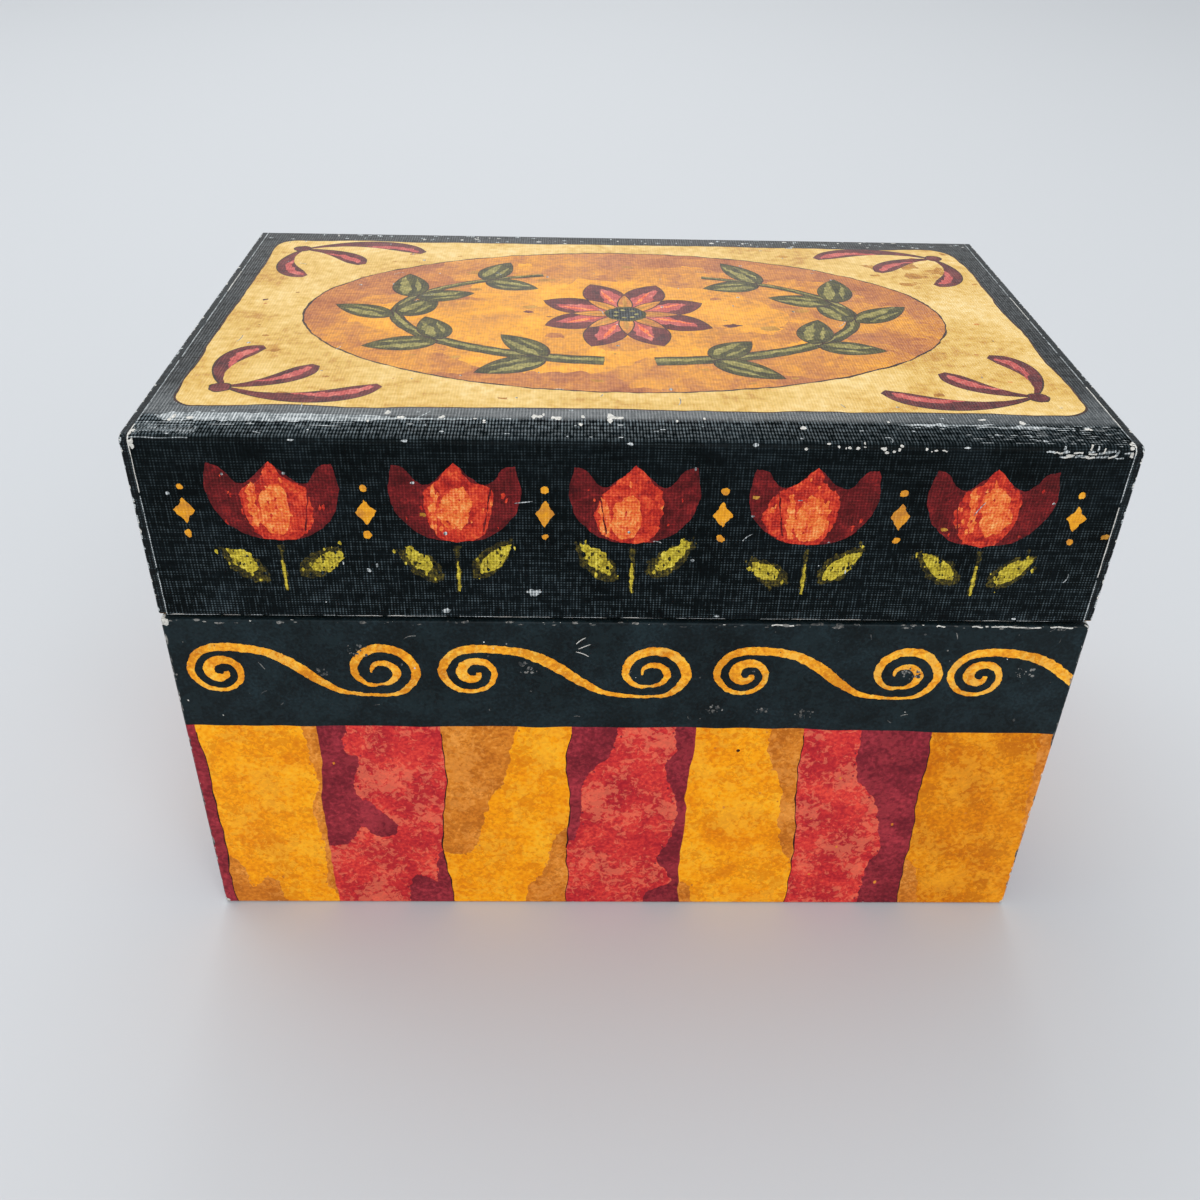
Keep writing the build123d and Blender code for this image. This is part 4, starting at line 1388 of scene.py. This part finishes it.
def lid_wear():
    """Rubbed and torn places: along the front and back edges, at the corners and ends."""
    luck = random.Random(41)
    back = (top_back - 4.5, top_back + round_arc[0] + 0.5)
    areas = []
    for patch in ((-66.4, -42.0, top_front + 4.0, top_front + 6.6, 0.8, 1),
                  (-52.0, -33.0, top_front + 4.4, top_front + 6.3, 0.8, 2),
                  (-62.0, -37.0, top_front + 4.6, top_front + 6.0, 0.5, 9),
                  (-36.0, -22.0, top_front + 5.0, top_front + 5.6, 0.4, 4),
                  (50.0, 62.0, top_front + 4.4, top_front + 5.0, 0.5, 5),
                  (37.0, 50.0, top_front + 5.0, top_front + 5.5, 0.5, 6)):
        areas.append((WORN, rubbed_patch(*patch), None))

    def fleck(ink, x, y, wide, high):
        ring = speck(x, y, wide, high, x + y)
        if max(wide, high) > 0.6:
            ring = ragged(ring, 0.15, 0.25 * min(wide, high), x)
        areas.append((ink, ring, None))

    # The left end is rubbed thread by thread, between creases; at the right end the cross
    # threads are rubbed instead.
    for bar in range(19):
        x = bar * thread - 68.4
        fleck(WORN, x, top_front + 1.2 + luck.uniform(-0.3, 0.3), 0.24, luck.uniform(1.2, 2.6))
    for y in (top_front - 0.8, top_front + 2.6, top_front + 3.4):
        line = [Vector((-68.8 + 0.9 * step, y + 0.05 * math.sin(step), 0.16)) for step in range(10)]
        areas.append((WORN, brushed(line), None))
    for row in range(10):
        x = luck.uniform(46, 58)
        while x < cover_half - 1:
            length = luck.uniform(0.4, 2.0)
            fleck(WORN, x, top_front + row * weft * 1.4, length, 0.13)
            x += length + luck.uniform(0.3, 3.0)
    for _ in range(44):
        fleck(WORN, luck.uniform(-cover_half, cover_half), luck.uniform(front_head, top_front + 6),
              luck.uniform(0.3, 1.0), luck.uniform(0.15, 0.5))
    for _ in range(24):
        fleck(BARE, luck.uniform(-cover_half, cover_half), luck.gauss(top_front + 5.6, 0.9),
              luck.uniform(0.3, 1.3), luck.uniform(0.3, 1.5))
    fleck(BARE, -3.6, top_front + 6.2, 0.9, 3.2)
    fleck(BARE, -2.6, top_front + 6.4, 1.9, 0.9)
    for _ in range(22):
        fleck(BARE, luck.triangular(20, 44, 33), luck.gauss(front_head + 0.4, 0.3),
              luck.uniform(0.2, 0.6), luck.uniform(0.15, 0.5))
    for _ in range(30):
        x = luck.triangular(54, 68, 63)
        y = front_head + luck.uniform(-0.7, 0.5)
        slope = luck.choice((0.0, 0.1, 0.3, 2.5))
        reach = luck.uniform(0.25, 0.5) / (1 + slope)
        line = [Vector((x + reach * step, y + slope * reach * step + luck.uniform(-0.1, 0.1),
                        luck.uniform(0.14, 0.32))) for step in range(4)]
        areas.append((luck.choice((BARE, WORN)), brushed(line), None))
    areas += scratches(luck, WORN, 14, (36, 67), (top_front + 4.6, top_front + 6), 3.0, 0.2, 0.08)
    areas += scratches(luck, WORN, 8, (-67, -40), (top_front + 2, top_front + 4), 4.0, 0.16, 0.03)
    for _ in range(110):
        fleck(luck.choice((WORN, WORN, BARE)), luck.uniform(-cover_half, cover_half),
              luck.triangular(*back), luck.uniform(0.2, 1.1), luck.uniform(0.2, 0.8))
    areas += scratches(luck, WORN, 90, (-cover_half, cover_half - 4),
                       (front_foot - 0.45, front_foot - 0.1), 5.0, 0.12, 0.02)
    areas += scratches(luck, BARE, 22, (-cover_half, cover_half - 4),
                       (front_foot - 0.4, front_foot - 0.1), 3.0, 0.16, 0.02)
    for x, y, size in ((-27.4, front_foot + 0.9, 1.3), (-14.4, on_front(67.6), 2.0),
                       (13.0, front_foot + 0.3, 0.7), (58.0, front_foot + 0.3, 0.8)):
        fleck(WORN, x, y, size, size * 0.6)
    for x, z, size in ((-29.8, 80.6, 1.0), (17.0, 84.0, 0.9), (68.0, 78.0, 1.3), (44.5, 79.0, 1.0)):
        fleck(STAIN, x, on_front(z), size, size * 0.7)
    for side in (-1, 1):
        start = 0.4
        while start < cover_end:
            length = luck.uniform(4, 16)
            x = side * (cover_half - 0.09)
            line = [Vector((x + 0.02 * math.sin(step * 2), start + length * step / 9,
                            luck.uniform(0.1, 0.17))) for step in range(10)]
            areas.append((luck.choice((WORN, WORN, BARE)), brushed(line), None))
            start += length + luck.uniform(0.1, 1.4)
        for _ in range(10):
            fleck(BARE, side * (cover_half - luck.uniform(0, 0.7)),
                  luck.uniform(front_head - 0.5, top_front + 1), luck.uniform(0.2, 0.7),
                  luck.uniform(0.3, 1.1))
    for _ in range(70):
        fleck(WORN, luck.uniform(-68, 68), luck.uniform(front_foot, top_back),
              luck.uniform(0.2, 0.7), luck.uniform(0.2, 0.7))
    areas += scratches(luck, WORN, 22, (-66, 66), (front_foot, top_back), 3.0, 0.16)
    return areas


def make_lid_cover():
    bend_start = front_foot - edge_arc[0]
    outline = [Vector(p) for p in (
        (-turned_half, 0), (turned_half, 0), (turned_half + 0.1, bend_start),
        (cover_half, bend_start + 0.15), (cover_half, cover_end), (-cover_half, cover_end),
        (-cover_half, bend_start + 0.15), (-turned_half - 0.1, bend_start))]
    areas = medallion()
    areas += renumbered(len(areas), lid_front())
    areas += lid_wear()
    folds = [((-beyond, y), (beyond, y)) for y in bent_at(over_lid)]
    seam_start, seam_cut = 0.2, 0.1    # the cover is cut finely where it bends at the seam
    fold_high = cover_end - (lid_low + seam_start - tail_low)
    for step in range(13):
        y = fold_high + step * seam_cut
        folds.append(((-beyond, y), (beyond, y)))
    sheet = make_sheet("lid_embossed_cover", outline, areas, folds, place_cover, cover_inks)
    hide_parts("lid_cover", "hinge_tail")
    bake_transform(sheet)


make_lid_cover()

# ---------------------------------------------------------------- dividers
# Five sheets of coloured card with a blank tab each, the tabs stepping from left to
# right. Each stands in front of its bundle of cards.


# Dyed-through card: matt and faintly fibrous, lighter where it is rubbed.
divider_tones = [
    ("card_dyed_red", ["#9a3028", "#b03a30", "#bd4638"]),
    ("card_dyed_gold", ["#cf8e26", "#dfa034", "#e9b04a"]),
    ("card_dyed_olive", ["#62622f", "#75753a", "#858447"]),
    ("card_dyed_copper", ["#a75c30", "#b96c3c", "#c67c4a"]),
    ("card_dyed_dark_green", ["#22393a", "#2c4646", "#375252"]),
]
for number, (name, tones) in enumerate(divider_tones):
    card = make_plain_paper(name, 1.5, 6.0, 0.6, list(zip((0.25, 0.5, 0.75), tones)), 0.72, 0.03)
    dress([f"divider_{number + 1}"], card)

# ---------------------------------------------------------------- index cards
# Each bundle is twenty-two white cards, cut square and printed with one red and several
# blue rules. Loose cards never line up quite true.

cards_in_bundle = 22
card_high = 76.2               # card, the 3 inch side
card_lean = math.radians(4)


def make_index_card():
    """Index stock: smooth uncoated white bristol, ruled, a little yellowed."""
    made, tree = new_material("bristol_ruled")
    place = sheet_place(tree)
    parts = add(tree, "SeparateXYZ", {}, {0: place})
    fibre = add(tree, "TexNoise", {}, {"Vector": solid_place(tree), "Scale": 1.2, "Detail": 5.0})
    stock = add(tree, "ValToRGB", {"stops": [
        (0.3, "#e6dfca"), (0.55, "#efe9d8"), (0.75, "#f5f1e4"),
    ]}, {0: fibre})
    # Rules are 6.35 mm apart; the first 12 mm is the red headline.
    rule_pitch, first_rule, rule_width = 6.35, 12.0, 0.3
    down = add(tree, "Math", {"operation": "SUBTRACT"}, {0: card_high - first_rule,
                                                         1: parts.outputs[1]})
    repeat = add(tree, "Math", {"operation": "PINGPONG"}, {0: down, 1: rule_pitch / 2})
    blue = add(tree, "Math", {"operation": "LESS_THAN"}, {0: repeat, 1: rule_width / 2})
    below = add(tree, "Math", {"operation": "GREATER_THAN"}, {0: down, 1: 1.0})
    ruled = add(tree, "Math", {"operation": "MULTIPLY"}, {0: blue, 1: below})
    near = add(tree, "Math", {"operation": "ABSOLUTE"}, {0: down})
    red = add(tree, "Math", {"operation": "LESS_THAN"}, {0: near, 1: rule_width / 2})
    lined = add(tree, "Mix", {"data_type": "RGBA"}, {"Factor": ruled, 6: stock, 7: "#8fb0cc"})
    headed = add(tree, "Mix", {"data_type": "RGBA"}, {"Factor": red,
                                                      6: lined.outputs[2], 7: "#d0606a"})
    close_paper(tree, headed.outputs[2], 0.6, fibre, 0.02)
    return made


index_card = make_index_card()


def make_bundle(number):
    """The cards of one group, each a thin leaning sheet with a little bow of its own."""
    name = f"cards_{number}"
    low, high = [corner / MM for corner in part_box(name)]
    luck = random.Random(60 + number)
    shift = (high.z - low.z) * math.tan(card_lean)
    pitch = (high.y - low.y - shift) / cards_in_bundle
    gauge = pitch * 0.8
    half = (high.x - low.x) / 2
    columns = 8
    points, faces, flat = [], [], []
    for card in range(cards_in_bundle):
        front = low.y + card * pitch + 0.02
        slip = luck.uniform(-0.8, 0.5)
        top = high.z - low.z - luck.uniform(0.0, 0.7)
        bow = luck.uniform(-0.03, 0.03)
        wide = half - 0.8
        first = len(points)
        for column in range(columns + 1):
            x = slip + wide * (2 * column / columns - 1)
            belly = bow * (1 - (2 * column / columns - 1) ** 2)
            for share, back in ((0, 0), (1, 0), (1, 1), (0, 1)):
                up = top * share
                y = front + up * math.tan(card_lean) + belly * share + back * gauge
                points.append(Vector((x, y, low.z + up)) * MM)
                flat.append((x, up / math.cos(card_lean), 0))
        for column in range(columns):
            a = first + 4 * column
            for side in range(4):
                following = (side + 1) % 4
                faces.append([a + side, a + 4 + side, a + 4 + following, a + following])
        faces.append([first, first + 1, first + 2, first + 3])
        last = first + 4 * columns
        faces.append([last + 3, last + 2, last + 1, last])
    mesh = bpy.data.meshes.new(name)
    mesh.from_pydata(points, [], faces)
    spot = mesh.attributes.new("flat", "FLOAT_VECTOR", "POINT")
    for index, place in enumerate(flat):
        spot.data[index].vector = place
    mesh.materials.append(index_card)
    bundle = bpy.data.objects.new(f"index_{name}", mesh)
    bpy.context.scene.collection.objects.link(bundle)
    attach(bundle, f"card_group_{number}")
    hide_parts(name)


for number in range(1, 6):
    make_bundle(number)

# ---------------------------------------------------------------- table, light, camera
# A plain pale surface, soft daylight from all round with broad lamps above, in front and
# behind, and the camera in front of the box, above it and turned down to it.

haze = "#d4d8db"               # the pale backdrop, as it is seen


def bare_backdrop(tree):
    """1 where the backdrop is looked at, mirrored in a gloss or seen through glass, and 0
    where it lights."""
    ray = add(tree, "LightPath", {}, {})
    seen = add(tree, "Math", {"operation": "MAXIMUM"}, {
        0: ray.outputs["Is Camera Ray"], 1: ray.outputs["Is Glossy Ray"]})
    return add(tree, "Math", {"operation": "MAXIMUM"}, {
        0: seen, 1: ray.outputs["Is Transmission Ray"]})


plain_floor, hazy_floor = 1.2, 3.5     # how far out the floor starts to fade and has faded


def make_floor():
    """Matt pale grey surface, a touch blue, that runs out into the pale backdrop."""
    made, tree = new_material("floor_pale")
    shader = add(tree, "BsdfPrincipled", {}, {"Base Color": "#c3c6c9", "Roughness": 0.8})
    glow = add(tree, "Emission", {}, {"Color": haze, "Strength": 1.0})
    place = add(tree, "TexCoord", {}, {}).outputs["Object"]
    away = add(tree, "VectorMath", {"operation": "LENGTH"}, {0: place}).outputs["Value"]
    far = add(tree, "MapRange", {"interpolation_type": "SMOOTHSTEP"},
              {"Value": away, "From Min": plain_floor, "From Max": hazy_floor})
    share = add(tree, "Math", {"operation": "MULTIPLY"}, {0: far, 1: bare_backdrop(tree)})
    mixed = add(tree, "MixShader", {}, {0: share, 1: shader, 2: glow})
    add(tree, "OutputMaterial", {}, {"Surface": mixed})
    return made


floor_half = 8.0
floor_mesh = bpy.data.meshes.new("floor")
floor_mesh.from_pydata([(floor_half * x, floor_half * y, 0) for x, y in (
    (-1, -1), (1, -1), (1, 1), (-1, 1))], [], [(0, 1, 2, 3)])
floor_mesh.materials.append(make_floor())
floor = bpy.data.objects.new("floor", floor_mesh)
bpy.context.scene.collection.objects.link(floor)

world = bpy.data.worlds.new("daylight")
world.use_nodes = True
sky = world.node_tree
sky.nodes.clear()
daylight = add(sky, "Background", {}, {"Color": "#f3f6fa", "Strength": 0.62})
backdrop = add(sky, "Background", {}, {"Color": haze, "Strength": 1.0})
shown = add(sky, "MixShader", {}, {0: bare_backdrop(sky), 1: daylight, 2: backdrop})
add(sky, "OutputWorld", {}, {"Surface": shown})
bpy.context.scene.world = world


def add_lamp(name, place, target, size, power):
    """A broad soft lamp, turned to face a point."""
    light = bpy.data.lights.new(name, "AREA")
    light.shape = "SQUARE"
    light.size = size
    light.energy = power
    lamp = bpy.data.objects.new(name, light)
    lamp.location = place
    lamp.rotation_euler = (Vector(target) - Vector(place)).to_track_quat("-Z", "Y").to_euler()
    bpy.context.scene.collection.objects.link(lamp)


box_middle = (0, 0, 0.05)
add_lamp("lamp_above", (-0.3, 0.5, 1.3), box_middle, 1.2, 9)
add_lamp("lamp_front", (0.3, -1.3, 1.15), box_middle, 1.4, 16.5)
add_lamp("lamp_behind", (0.05, 2.8, 1.5), box_middle, 1.7, 18)

lens = bpy.data.cameras.new("camera")
lens.sensor_width = 36.0
lens.lens = 35.253
lens.clip_start = 0.01
camera = bpy.data.objects.new("camera", lens)
camera.location = (-0.008817, -0.187845, 0.165048)
camera.rotation_euler = [math.radians(angle) for angle in (55.4573, -1.2016, -0.8832)]
bpy.context.scene.collection.objects.link(camera)
bpy.context.scene.camera = camera
bpy.context.scene.view_settings.view_transform = "Standard"
